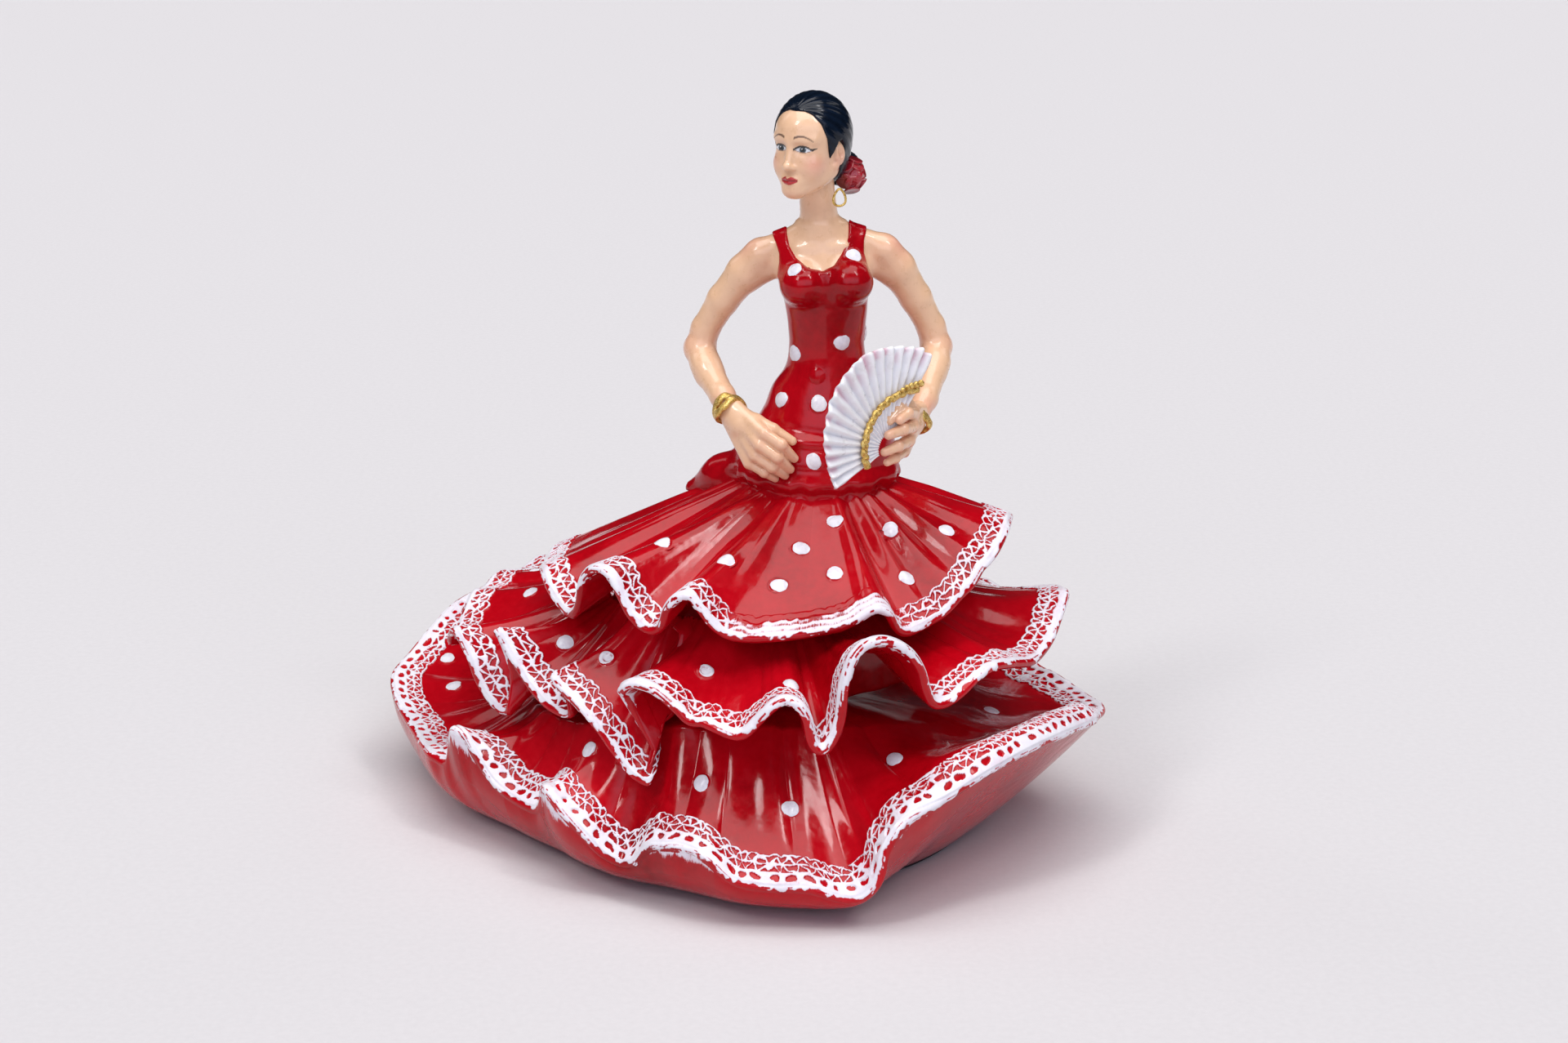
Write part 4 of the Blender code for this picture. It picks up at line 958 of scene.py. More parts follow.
def dress(p):
    f = torso(p) - 0.48
    z, x, y = p[:, 2], p[:, 0], p[:, 1]
    front = smoothstep(3.0, -6.0, y)
    # roll at the hip seam, belly fold, gathers under the bust and between the cups
    f = f - 0.45 * np.exp(-((z - 82.3) / 1.1) ** 2) * (0.7 + 0.3 * front)
    f = f + 0.9 * smoothstep(81.4, 79.6, z)
    turn = np.arctan2(y, x - 18.5)
    f = f - 0.30 * np.exp(-((z - 80.6) / 1.6) ** 2) * (np.cos(15 * turn + 0.8 * np.sin(4 * turn)) + 0.5 * np.cos(26 * turn + 1.0))
    f = f + 0.35 * np.exp(-((z - 84.9) / 1.2) ** 2) * front
    f = f - 0.55 * np.exp(-((z - 91.0 + 0.06 * (x - 17)) / 1.1) ** 2) * np.exp(-((x - 16.5) / 6.0) ** 2) * front
    f = f + 0.30 * np.exp(-((z - 93.2 + 0.06 * (x - 17)) / 1.0) ** 2) * np.exp(-((x - 16.5) / 7.0) ** 2) * front
    f = f + 0.25 * np.exp(-((z - 119.9) / 1.1) ** 2) * front
    f = join(f, cone(p, (19.4, -7.0, 127.2), (19.7, -7.0, 123.4), 0.75, 0.45), 1.0)
    # cloth gathered out over the back of the right hip
    f = join(f, cone(p, (5.6, 4.0, 84.6), (-2.8, 9.0, 77.4), 3.0, 4.6), 5.0)
    f = join(f, cone(p, (-2.8, 9.0, 77.4), (-9.4, 12.5, 73.6), 4.6, 2.2), 3.0)
    f = join(f, cone(p, (8.0, 10.0, 84.5), (3.4, 14.0, 78.4), 2.0, 2.6), 4.0)
    # soft unevenness of hand-modelled cloth
    f = f + 0.055 * noise3(p, 6.5, 3) + 0.015 * noise3(p, 2.6, 4)
    f = np.maximum(f, 76.2 - z - 3.0 * smoothstep(2.0, -4.0, x))
    edge = np.full(len(p), -6.0)
    hi = z > 117
    if hi.any():
        edge[hi] = outline(x[hi], z[hi], NECKLINE)
    return both(f, edge, 0.45)


def wrap(fn, R, c):
    """A shape described in its own axes, placed at c; R's columns are those axes."""
    return lambda p: fn(((p - c) @ R) / HEAD_SIZE)


add_net("dress_bodice", dress, (-14, -19, 73.4), (42, 22, 139.5), 0.42, MAT_RED, ("dress_body", "armature_rod"))
add_net("chest_neck_arms", skin_body, (-14, -14, 95), (51, 13, 150.5), 0.42, MAT_SKIN, ("chest_and_neck", "arm_right", "arm_left", "neck_pin"), skin_paint)

# ================================================================ hands
HAND_R = dict(wrist=((-0.7, -8.8, 97.2), 2.4), knuckles=[(6.6, -15.8, 94.1), (5.7, -16.0, 91.6), (4.7, -15.2, 89.0), (3.3, -13.8, 87.0)],
              mids=[(10.2, -16.9, 92.0), (9.4, -17.0, 89.2), (8.3, -16.2, 86.8), (6.5, -14.9, 85.2)],
              tips=[(13.0, -14.3, 88.2), (12.1, -14.4, 85.8), (11.0, -14.1, 84.3), (8.9, -13.2, 83.3)],
              thumb=[((0.8, -9.8, 97.0), 1.8), ((4.6, -12.2, 95.9), 1.75), ((8.4, -13.4, 94.4), 1.35), ((12.6, -13.6, 91.9), 1.0)])
HAND_L = dict(wrist=((39.6, -10.6, 96.8), 2.4), knuckles=[(38.6, -18.0, 99.2), (38.4, -18.8, 96.6), (37.6, -19.0, 93.5), (36.6, -18.2, 90.9)],
              mids=[(37.2, -22.2, 100.4), (36.2, -23.4, 97.2), (35.2, -23.5, 93.5), (34.6, -22.6, 90.6)],
              tips=[(35.4, -24.8, 99.6), (33.0, -26.0, 96.6), (32.2, -25.8, 92.8), (32.8, -24.6, 90.2)],
              thumb=[((39.4, -12.6, 98.2), 1.7), ((37.4, -17.6, 100.8), 1.55), ((35.4, -21.8, 101.4), 1.3), ((33.2, -24.4, 99.4), 1.05)])


def hand(spec, spread):
    w, wr = spec["wrist"]
    w = np.array(w)
    K = [np.array(k) for k in spec["knuckles"]]
    side = unit(K[3] - K[0])

    def fn(p):
        f = None
        for i, k in enumerate(K):
            base = w + side * (i - 1.5) * spread
            g = cone(p, base, k, wr * 0.72, 1.42)
            f = g if f is None else join(f, g, 1.1)
        f = join(f, cone(p, w + (w - (K[1] + K[2]) / 2) * 0.12, w + ((K[1] + K[2]) / 2 - w) * 0.35, wr, wr * 0.98), 1.2)
        radii = [(1.38, 1.24, 0.98), (1.42, 1.28, 1.0), (1.36, 1.2, 0.95), (1.2, 1.05, 0.85)]
        for k, m, t, r in zip(K, spec["mids"], spec["tips"], radii):
            m, t = np.array(m), np.array(t)
            finger = join(cone(p, k, m, r[0], r[1]), cone(p, m, t, r[1], r[2]), 0.35)
            finger = join(finger, ellipsoid(p, m, (r[1] * 1.06,) * 3), 0.4)
            f = join(f, finger, 0.42)
        f = join(f, limb(p, spec["thumb"], 0.6), 0.55)
        return f
    return fn


def hand_paint(spec):
    def fn(V):
        c = np.broadcast_to(SKIN, V.shape).copy()
        rosy = np.zeros(len(V))
        for k in spec["knuckles"] + spec["mids"]:
            rosy = np.maximum(rosy, spot(V, k, (1.7, 1.7, 1.7)) * 0.7)
        for k in spec["tips"]:
            rosy = np.maximum(rosy, spot(V, k, (1.5, 1.5, 1.5)))
        # painted shade lying between the fingers
        finger_gap_shade = np.zeros(len(V))
        for row in ("knuckles", "mids", "tips"):
            P = spec[row]
            for a, b in zip(P[:-1], P[1:]):
                finger_gap_shade = np.maximum(finger_gap_shade, spot(V, (np.array(a) + np.array(b)) / 2, (0.75, 1.6, 0.75)))
        c += (ROSY - SKIN) * (0.42 * rosy)[:, None]
        # painted shade: SHADE colour laid between the fingers
        c += (SHADE - c) * (0.45 * finger_gap_shade)[:, None]
        return {"tint": c}
    return fn


add_net("hand_on_hip", hand(HAND_R, 1.05), (-5, -20, 81), (16, -5, 101.5), 0.21, MAT_SKIN, ("hand_right",), hand_paint(HAND_R))
add_net("hand_on_fan", hand(HAND_L, 1.05), (29.5, -29, 87), (46, -6, 104.5), 0.21, MAT_SKIN, ("hand_left",), hand_paint(HAND_L))

# ================================================================ head
HEAD_AT = np.array([16.3, -1.0, 154.3])
HEAD_R = rot_z(-33.0) @ rot_x(-4.0)
HEAD_SIZE = np.array([1.13, 1.10, 1.05])
EYES = [(-2.45, -0.35), (2.45, -0.35)]


def mirror(p):
    q = p.copy()
    q[:, 0] = np.abs(q[:, 0])
    return q


def skull(p):
    return ellipsoid(p, (0, 1.2, 2.2), (6.4, 7.6, 8.0))


def head_local(p):
    q = mirror(p)
    f = skull(p)
    f = join(f, ellipsoid(q, (0, -1.6, 2.8), (5.7, 5.9, 5.6)), 1.4)
    f = join(f, ellipsoid(q, (0, -1.3, -3.0), (5.3, 5.7, 6.9)), 1.8)
    f = join(f, cone(q, (4.1, 0.6, -4.6), (0.9, -4.9, -8.6), 1.7, 1.5), 2.2)
    f = join(f, ellipsoid(q, (0, -5.2, -8.7), (1.8, 1.7, 1.75)), 1.3)
    f = join(f, ellipsoid(q, (2.6, -4.2, -3.8), (2.1, 1.7, 2.2)), 2.2)
    f = join(f, cone(q, (0.8, -6.6, 1.5), (4.0, -5.1, 1.7), 0.50, 0.40), 1.6)
    f = cut(f, ellipsoid(q, (2.30, -7.75, -0.25), (1.60, 1.30, 1.10)), 1.0)
    f = join(f, ellipsoid(q, (2.45, -4.85, -0.35), (1.62, 1.5, 1.42)), 0.3)
    f = join(f, cone(q, (1.15, -6.15, 0.45), (3.6, -5.65, 0.35), 0.32, 0.30), 0.45)
    f = join(f, cone(q, (1.4, -6.05, -1.15), (3.4, -5.65, -1.0), 0.24, 0.22), 0.5)
    f = join(f, cone(q, (0, -6.55, 1.0), (0, -7.75, -3.5), 0.50, 0.72), 1.2)
    f = join(f, ellipsoid(q, (0, -8.00, -3.85), (0.80, 0.85, 0.70)), 0.7)
    f = join(f, ellipsoid(q, (0.85, -7.0, -4.05), (0.55, 0.80, 0.52)), 0.6)
    f = join(f, ellipsoid(q, (0, -5.9, -6.7), (2.2, 1.2, 1.7)), 1.0)
    f = join(f, cone(q, (0.25, -7.2, -6.25), (1.5, -6.55, -6.55), 0.42, 0.20), 0.35)
    f = join(f, cone(q, (0, -7.05, -7.15), (1.15, -6.65, -6.95), 0.50, 0.28), 0.35)
    f = cut(f, cone(q, (0, -7.75, -6.68), (1.6, -6.9, -6.68), 0.14, 0.06), 0.22)
    f = cut(f, ellipsoid(q, (0, -7.6, -8.0), (1.4, 0.5, 0.35)), 0.5)
    # ear: rim, hollow and lobe
    ear = ellipsoid(q, (6.15, 0.9, -1.2), (0.85, 1.55, 2.35), rot_x(10.0))
    ear = cut(ear, ellipsoid(q, (6.95, 0.55, -0.8), (0.75, 0.85, 1.35), rot_x(10.0)), 0.35)
    ear = join(ear, ellipsoid(q, (6.15, -0.1, -1.7), (0.5, 0.5, 0.75)), 0.4)
    ear = join(ear, ellipsoid(q, (5.95, 0.1, -3.6), (0.62, 0.85, 0.85)), 0.5)
    f = join(f, ear, 0.5)
    return f


def face_paint(V):
    p = ((V - HEAD_AT) @ HEAD_R) / HEAD_SIZE
    x, y, z = p[:, 0], p[:, 1], p[:, 2]
    ax = np.abs(x)
    c = np.broadcast_to(SKIN, V.shape).copy()

    def lay(colour, m):
        nonlocal c
        c = c + (np.array(colour) - c) * np.clip(m, 0, 1)[:, None]

    q = mirror(p)
    lay(ROSY, 0.60 * spot(q, (4.2, -4.6, -3.3), (1.9, 2.6, 1.9)))
    lay(ROSY, 0.35 * spot(q, (0, -5.6, -9.4), (1.6, 1.6, 1.2)))
    lay(ROSY, 0.40 * spot(q, (6.6, 0.6, -2.4), (1.0, 2.0, 2.4)))
    lay(SHADE, 0.30 * spot(q, (2.45, -6.0, 0.75), (1.9, 2.0, 0.6)))
    lay(SHADE, 0.32 * spot(q, (0, -7.4, -4.95), (1.2, 1.6, 0.4)))
    lay(SHADE, 0.25 * spot(q, (0, -4.0, -10.4), (3.4, 3.0, 1.0)))
    front = (y < -3.2).astype(float)
    # brows
    s = np.clip((ax - 1.1) / 3.3, 0, 1)
    arch = 1.75 + 0.95 * np.sin(math.pi * (0.12 + 0.78 * s)) - 0.55 * s
    wide = 0.17 * (1 - 0.75 * s)
    m = smoothstep(wide + 0.16, wide, np.abs(z - arch)) * ((ax > 1.05) & (ax < 4.5)) * front
    lay((0.075, 0.035, 0.022), 0.85 * m)
    # eyes: white, iris, catchlight, lash line
    dx = (ax - 2.45) / 1.52
    open_up = 0.74 * np.clip(1 - dx ** 2, 0, 1) ** 0.75
    open_dn = 0.46 * np.clip(1 - dx ** 2, 0, 1) ** 0.85
    zz = z + 0.38
    up, dn = open_up - zz, zz + open_dn
    eye = smoothstep(-0.04, 0.05, np.minimum(up, dn)) * (np.abs(dx) < 1) * front
    lay((0.78, 0.80, 0.83), eye)
    r = np.hypot(ax - 2.40, zz - 0.08)
    lay((0.018, 0.045, 0.060), eye * smoothstep(0.70, 0.62, r))
    lay((0.004, 0.004, 0.005), eye * smoothstep(0.38, 0.31, r))
    rc = np.hypot(x - np.sign(x) * 2.40 + 0.20, zz - 0.26)
    lay((0.9, 0.9, 0.92), eye * smoothstep(0.17, 0.11, rc))
    lash = smoothstep(0.26, 0.17, np.abs(zz - open_up - 0.08)) * (np.abs(dx) < 1.12) * front
    lay((0.012, 0.008, 0.008), lash)
    wing = smoothstep(0.17, 0.09, np.abs(zz - 0.18 - 0.42 * (dx - 0.9))) * ((dx > 0.82) & (dx < 1.42)) * front
    lay((0.012, 0.008, 0.008), wing)
    under = smoothstep(0.10, 0.05, np.abs(zz + open_dn)) * (np.abs(dx) < 0.95) * front
    lay((0.20, 0.09, 0.06), 0.75 * under)
    # lips
    bow = -6.02 + 0.16 * np.cos(np.clip(ax / 0.62, 0, 1) * math.pi + math.pi) - 0.42 * smoothstep(0.6, 1.75, ax)
    base = -7.52 + 0.72 * (ax / 1.75) ** 2
    lip = smoothstep(-0.05, 0.06, np.minimum(bow - z, z - base)) * (ax < 1.75) * (y < -5.6)
    lay((0.50, 0.010, 0.012), lip)
    lay((0.10, 0.004, 0.005), 0.8 * lip * smoothstep(0.12, 0.05, np.abs(z + 6.68)))
    return {"tint": c}


head_world = wrap(head_local, HEAD_R, HEAD_AT)
add_net("head_and_face", head_world, (4.5, -13.5, 141.0), (28.5, 10.5, 167), 0.20, MAT_SKIN, ("head",), face_paint)

# ---------------------------------------------------------------- hair
BUN_AT = np.array([23.4, 8.2, 148.0])
HAIRLINE = [(-180, -8.0), (-150, -7.6), (-128, -6.4), (-110, -3.0), (-98, 0.6), (-90, 1.7), (-82, 1.2), (-77, -0.6), (-72, -2.2), (-67, -0.8), (-60, 2.0),
            (-48, 4.9), (-34, 6.6), (-18, 7.3), (0, 7.2)]
_h = np.array(HAIRLINE + [(-a, z) for a, z in HAIRLINE[::-1][1:]], float)


def comb(p):
    """Angle of each point about the line from the bun through the head, in strands."""
    b = ((BUN_AT - HEAD_AT) @ HEAD_R) / HEAD_SIZE
    axis = unit(np.array([0, -2.0, 4.5]) - b)
    s = unit(np.cross(axis, (0, 0, 1.0)))
    t = np.cross(axis, s)
    q = p - b
    return np.arctan2(q @ t, q @ s), q @ axis


def hair_local(p):
    shell = ellipsoid(p, (0, 1.25, 2.25), (7.25, 8.45, 8.85))
    shell = join(shell, ellipsoid(p, (0, 4.6, -2.6), (5.4, 4.4, 6.2)), 2.0)
    a, along = comb(p)
    lock = np.cos(26 * a + 1.2 * np.sin(5 * a)) * 0.035 + np.cos(71 * a + 2.0) * 0.012
    shell = shell - lock * smoothstep(0.5, 4.0, along)
    az = np.degrees(np.arctan2(p[:, 0], -(p[:, 1] - 0.2)))
    line = np.interp(az, _h[:, 0], _h[:, 1])
    r = np.hypot(p[:, 0], p[:, 1] - 0.2)
    edge = (line - p[:, 2]) * 0.75
    edge = np.where(r < 3.0, -4.0, edge)
    f = both(shell, edge, 0.5)
    return np.maximum(f, -(skull(p) + 0.6))


def hair_paint(V):
    p = ((V - HEAD_AT) @ HEAD_R) / HEAD_SIZE
    a, along = comb(p)
    # painted light and shade: lighter on the crests of the combed locks, darker in the grooves between them
    streak = 0.5 + 0.5 * np.cos(26 * a + 1.2 * np.sin(5 * a))
    c = np.array([0.0030, 0.0075, 0.018])[None] * (0.75 + 0.6 * streak)[:, None]
    return {"tint": c}


add_net("hair_cap_combed", wrap(hair_local, HEAD_R, HEAD_AT), (5.5, -12.5, 143), (28.5, 13.5, 168), 0.22, MAT_HAIR, ("hair_cap",), hair_paint)


def bun(p):
    q = p - BUN_AT
    r = np.sqrt((q * q).sum(1))
    out = unit((0.45, 0.89, -0.1))
    s = unit(np.cross(out, (0, 0, 1.0)))
    t = np.cross(out, s)
    ang = np.arctan2(q @ t, q @ s)
    rad = np.sqrt((q @ t) ** 2 + (q @ s) ** 2)
    coil = np.cos(2 * math.pi * (rad / 1.75) - ang)
    return ellipsoid(p, BUN_AT, (3.9, 3.4, 4.0)) - 0.30 * coil * smoothstep(0.2, 1.5, rad) - 0.05 * np.cos(34 * ang + rad * 2)


add_net("hair_bun_coil", bun, (18.5, 3.5, 143), (28.5, 13, 153), 0.22, MAT_HAIR, ("hair_bun",),
        lambda V: {"tint": np.broadcast_to(np.array([0.0085, 0.013, 0.022]), V.shape).copy()})

# ---------------------------------------------------------------- rose
ROSE_AT = np.array([26.0, 4.0, 146.9])
ROSE_OUT = unit((0.62, -0.74, 0.10))


def petals():
    """Cupped petals round a bud: middle, radii and facing of each."""
    s = unit(np.cross(ROSE_OUT, (0, 0, 1.0)))
    t = np.cross(s, ROSE_OUT)
    out = []
    for ring, (count, rad, lean, size, lift) in enumerate([(3, 0.75, 20, 1.35, 1.5), (5, 1.75, 42, 1.75, 0.75), (6, 2.75, 64, 1.9, -0.35)]):
        for k in range(count):
            a = 2 * math.pi * (k + 0.37 * ring) / count
            d = s * math.cos(a) + t * math.sin(a) * 1.22
            c = ROSE_AT + d * rad + ROSE_OUT * lift
            n = unit(ROSE_OUT * math.cos(math.radians(lean)) + d * math.sin(math.radians(lean)))
            u = unit(np.cross(n, d + 1e-6))
            w = np.cross(u, n)
            out.append((c, np.stack([u, w, n], 1), size))
    return out


PETALS = petals()


def rose(p):
    f = ellipsoid(p, ROSE_AT - ROSE_OUT * 0.9, (2.5, 2.5, 3.4))
    f = join(f, ellipsoid(p, ROSE_AT + ROSE_OUT * 1.6, (0.9, 0.9, 1.0)), 0.3)
    for c, A, size in PETALS:
        q = (p - c) @ A
        cup = 0.22 / size * (q[:, 0] ** 2 + q[:, 1] ** 2)
        flat = q.copy()
        flat[:, 2] = q[:, 2] - cup + 0.25
        g = ellipsoid(flat, (0, 0, 0), (size, size, 0.42))
        f = join(f, g * 0.8, 0.16)
    return f


def rose_paint(V):
    d = (V - ROSE_AT) @ ROSE_OUT
    # darker towards the back of the rose, where it sits in the hair, and lighter towards its face; the pale patches are
    # random
    rim = smoothstep(-1.5, 2.2, d + 0.5 * noise3(V, 1.6, 8))
    c = np.array([0.17, 0.002, 0.008])[None] * (1 - rim)[:, None] + np.array([0.50, 0.012, 0.028])[None] * rim[:, None]
    pale = smoothstep(0.35, 0.9, noise3(V, 1.3, 18)) * rim
    c = c + (np.array([0.66, 0.16, 0.20]) - c) * (0.45 * pale)[:, None]
    return {"tint": c}


add_net("hair_rose", rose, (21, -1.5, 141), (31.5, 9.5, 153), 0.20, MAT_ROSE, ("hair_flower",), rose_paint)


# ================================================================ jewellery
def sweep(name, path, right, up, half_w, half_t, mat, replaces, closed_path=True, sides=14, attrs=None, power=0.8):
    """A flat bar with rounded edges carried along a path; right and up give its cross axes at each point."""
    n = len(path)
    a = np.linspace(0, 2 * math.pi, sides, endpoint=False)
    ca, sa = np.cos(a), np.sin(a)
    cx = np.sign(ca) * np.abs(ca) ** power
    cy = np.sign(sa) * np.abs(sa) ** power
    hw = np.broadcast_to(half_w, n)[:, None, None]
    ht = np.broadcast_to(half_t, n)[:, None, None]
    v = path[:, None] + right[:, None] * (hw * cx[None, :, None]) + up[:, None] * (ht * cy[None, :, None])
    f = []
    m = n if closed_path else n - 1
    i = np.arange(m)[:, None]
    j = np.arange(sides)[None]
    i2, j2 = (i + 1) % n, (j + 1) % sides
    f = np.stack([i * sides + j, i2 * sides + j, i2 * sides + j2, i * sides + j2], -1).reshape(-1, 4)
    tris = None
    if not closed_path:
        v = np.concatenate([v.reshape(-1, 3), path[[0, -1]]])
        c0, c1 = n * sides, n * sides + 1
        j = np.arange(sides)
        t0 = np.stack([np.full(sides, c0), j, (j + 1) % sides], 1)
        t1 = np.stack([np.full(sides, c1), (n - 1) * sides + (j + 1) % sides, (n - 1) * sides + j], 1)
        tris = np.concatenate([t0, t1])
    # keep the faces outward
    flip = np.dot(np.cross(right[0], up[0]), path[1] - path[0]) > 0
    if flip:
        f = f[:, ::-1]
        tris = None if tris is None else tris[:, ::-1]
    return build(name, v.reshape(-1, 3), f, mat, replaces, tris=tris, attrs=attrs)


def bangle(name, centre, axis, radius, offset, wave, phase, half_w, half_t, replaces):
    axis = unit(axis)
    s = unit(np.cross(axis, (0, 0, 1.0)))
    t = np.cross(axis, s)
    a = np.linspace(0, 2 * math.pi, 96, endpoint=False)
    radial = s * np.cos(a)[:, None] + t * np.sin(a)[:, None]
    along = offset + wave * np.sin(a * 2 + phase) + 0.10 * np.sin(a * 7 + phase)
    path = np.array(centre) + radial * (radius + 0.10 * np.sin(a * 5 + phase))[:, None] + axis * along[:, None]
    tan = np.roll(path, -1, 0) - np.roll(path, 1, 0)
    tan /= np.linalg.norm(tan, axis=1, keepdims=True)
    right = np.cross(tan, radial)
    right /= np.linalg.norm(right, axis=1, keepdims=True)
    return sweep(name, path, right, radial, half_w * (1 + 0.12 * np.sin(a * 9 + phase)), half_t, MAT_GOLD, replaces)


AX_R = (0.36, -0.80, -0.47)
bangle("bangle_right_one", (-1.35, -7.9, 97.7), AX_R, 3.25, 0.0, 0.75, 0.4, 0.85, 0.52, ("bangle_right_upper",))
bangle("bangle_right_two", (-0.95, -8.9, 97.2), AX_R, 3.30, 0.0, 0.75, 2.6, 0.85, 0.52, ("bangle_right_lower",))
bangle("bangle_left_one", (39.2, -12.0, 96.2), (-0.40, -0.80, -0.45), 3.35, 0.0, 0.35, 0.4, 1.0, 0.52, ("bangle_left",))


def earring(name, at, axis, replaces):
    """A drop: a pointed hoop."""
    axis = unit(axis)
    s = unit(np.cross((0, 0, 1.0), axis))
    t = np.array([0, 0, 1.0])
    a = np.linspace(0, 2 * math.pi, 64, endpoint=False)
    x = 1.30 * np.sin(a) * (1 - 0.35 * np.cos(a))
    z = 1.85 * np.cos(a)
    path = np.array(at) + s * x[:, None] - t * (z[:, None] + 0.0) * -1.0
    tan = np.roll(path, -1, 0) - np.roll(path, 1, 0)
    tan /= np.linalg.norm(tan, axis=1, keepdims=True)
    nrm = np.broadcast_to(axis, tan.shape)
    right = np.cross(tan, nrm)
    return sweep(name, path, right, nrm.copy(), 0.26, 0.26, MAT_GOLD, replaces, sides=10, power=1.0)


def to_world(q):
    return (np.array(q, float) * HEAD_SIZE) @ HEAD_R.T + HEAD_AT


earring("earring_drop_left", to_world((6.2, 1.6, -10.2)), HEAD_R[:, 1] * 0.7 + HEAD_R[:, 0] * -0.7, ("earring_left",))
earring("earring_drop_right", to_world((-4.6, 3.6, -9.8)), HEAD_R[:, 1] * 0.7 + HEAD_R[:, 0] * 0.7, ("earring_right",))

# ================================================================ fan
FAN_AT = np.array([32.8, -24.0, 93.3])
FAN_R = rot_z(44.0)
REACH = np.array([(53, 21.4), (65, 22.0), (77, 21.5), (92, 21.8), (104, 22.4), (114, 22.8), (122, 22.6), (135, 22.4), (146, 21.6), (158, 20.6), (165, 20.1), (175, 18.6),
                  (187, 17.7), (201, 16.8)])
BAND = np.array([(44, 15.6), (64, 13.3), (84, 11.6), (110, 10.4), (137, 9.5), (159, 8.9), (188, 8.3), (201, 8.1)])
PLEATS = 18


def pleat(k):
    """Rounded fold, 0 in the valley and 1 on the crest."""
    s = 0.5 - 0.5 * np.cos(2 * math.pi * k)
    return s ** 0.8


def fan_point(a, r, lift):
    x, z = r * np.cos(np.radians(a)), r * np.sin(np.radians(a))
    local = np.stack([x, -lift, z], -1)
    return local @ FAN_R.T + FAN_AT


def fan_part(name, r0, r1, rows, depth, wall, replaces, rim):
    cols = 18 * 18 + 1
    share = np.linspace(0, 1, cols)
    a = 53 + 148 * share
    k = share * PLEATS
    crest = pleat(k)
    fine = pleat(k * 2 + 0.3) * 0.25
    s = np.linspace(0, 1, rows)[:, None]
    lo, hi = r0(a)[None], r1(a)[None]
    r = lo + (hi - lo) * s
    if rim:
        r = r + (0.55 * crest[None] - 0.15) * smoothstep(0.75, 1.0, s)
    swell = depth * (0.40 + 0.60 * s)
    h = swell * (crest + 0.6 * fine)[None]
    h = h + 0.12 * np.sin(r * 1.1 + 3 * np.sin(a / 9.0))[...] * (0.3 + 0.7 * s)
    top = fan_point(np.broadcast_to(a[None], r.shape), r, h + wall / 2)
    bot = fan_point(np.broadcast_to(a[None], r.shape), r, h * 0.85 - wall / 2)
    edge_r = r[-1] + wall * 0.42
    tip = fan_point(a, edge_r, h[-1] * 0.93)
    inner = fan_point(a, r[0] - wall * 0.3, h[0] * 0.93)
    grid = np.concatenate([inner[None], top, tip[None], bot[::-1]])
    n = len(grid)
    v = grid.reshape(-1, 3)
    f = quads(n, cols, wrap=False)
    # join the last row back to the first
    j = np.arange(cols - 1)
    last = (n - 1) * cols
    close = np.stack([last + j, last + j + 1, j + 1, j], 1)
    # side walls at both ends of the sector
    ends = []
    for c, sgn in ((0, 1), (cols - 1, -1)):
        for i in range(rows - 1):
            a0, a1 = (1 + i) * cols + c, (2 + i) * cols + c
            b0, b1 = (n - 1 - i) * cols + c, (n - 2 - i) * cols + c
            q = [a0, a1, b1, b0]
            ends.append(q if sgn > 0 else q[::-1])
    tri = []
    for c, sgn in ((0, 1), (cols - 1, -1)):
        t = [[c, 1 * cols + c, (n - 1) * cols + c], [rows * cols + c, (rows + 1) * cols + c, (rows + 2) * cols + c]]
        tri += t if sgn > 0 else [q[::-1] for q in t]
    faces = np.concatenate([f, close, np.array(ends)])
    # colour: white, with painted shade in the valleys of the folds, and a pink wash caught near the rim
    cr = np.broadcast_to(crest[None], r.shape)
    ss = np.broadcast_to(s, r.shape)
    white, fold_valley_shade, pink = np.array([0.95, 0.955, 0.97]), np.array([0.66, 0.67, 0.76]), np.array([0.66, 0.30, 0.40])
    pts = np.stack([a[None] * np.ones_like(r) * 0.35, r, np.zeros_like(r)], -1).reshape(-1, 3)
    blot = noise3(pts, 2.4, 41).reshape(r.shape)
    # painted shade: greyer towards the bottom of each fold
    tint = white + (fold_valley_shade - white) * ((1 - cr) ** 2 * 0.55)[..., None]
    wash = smoothstep(0.15, 0.7, blot + 0.55 * ss) * (1 - cr) ** 1.5 * smoothstep(0.45, 0.95, ss) * (0.75 if rim else 0.25)
    tint = tint + (pink - tint) * wash[..., None]
    tint = np.concatenate([tint[:1], tint, tint[-1:], tint[::-1]])
    return build(name, v, faces[:, ::-1], MAT_FAN, replaces, attrs={"tint": tint.reshape(-1, 3)}, tris=np.array(tri)[:, ::-1])


def reach_at(a):
    return np.interp(a, REACH[:, 0], REACH[:, 1])


def band_at(a):
    return np.interp(a, BAND[:, 0], BAND[:, 1])


fan_part("fan_leaf_pleated", lambda a: band_at(a) - 0.2, reach_at, 26, 1.15, 0.75, ("fan_leaf",), True)
fan_part("fan_sticks_fluted", lambda a: 3.2 + 0 * a, lambda a: band_at(a) - 0.5, 14, 0.75, 0.75, ("fan_sticks",), False)


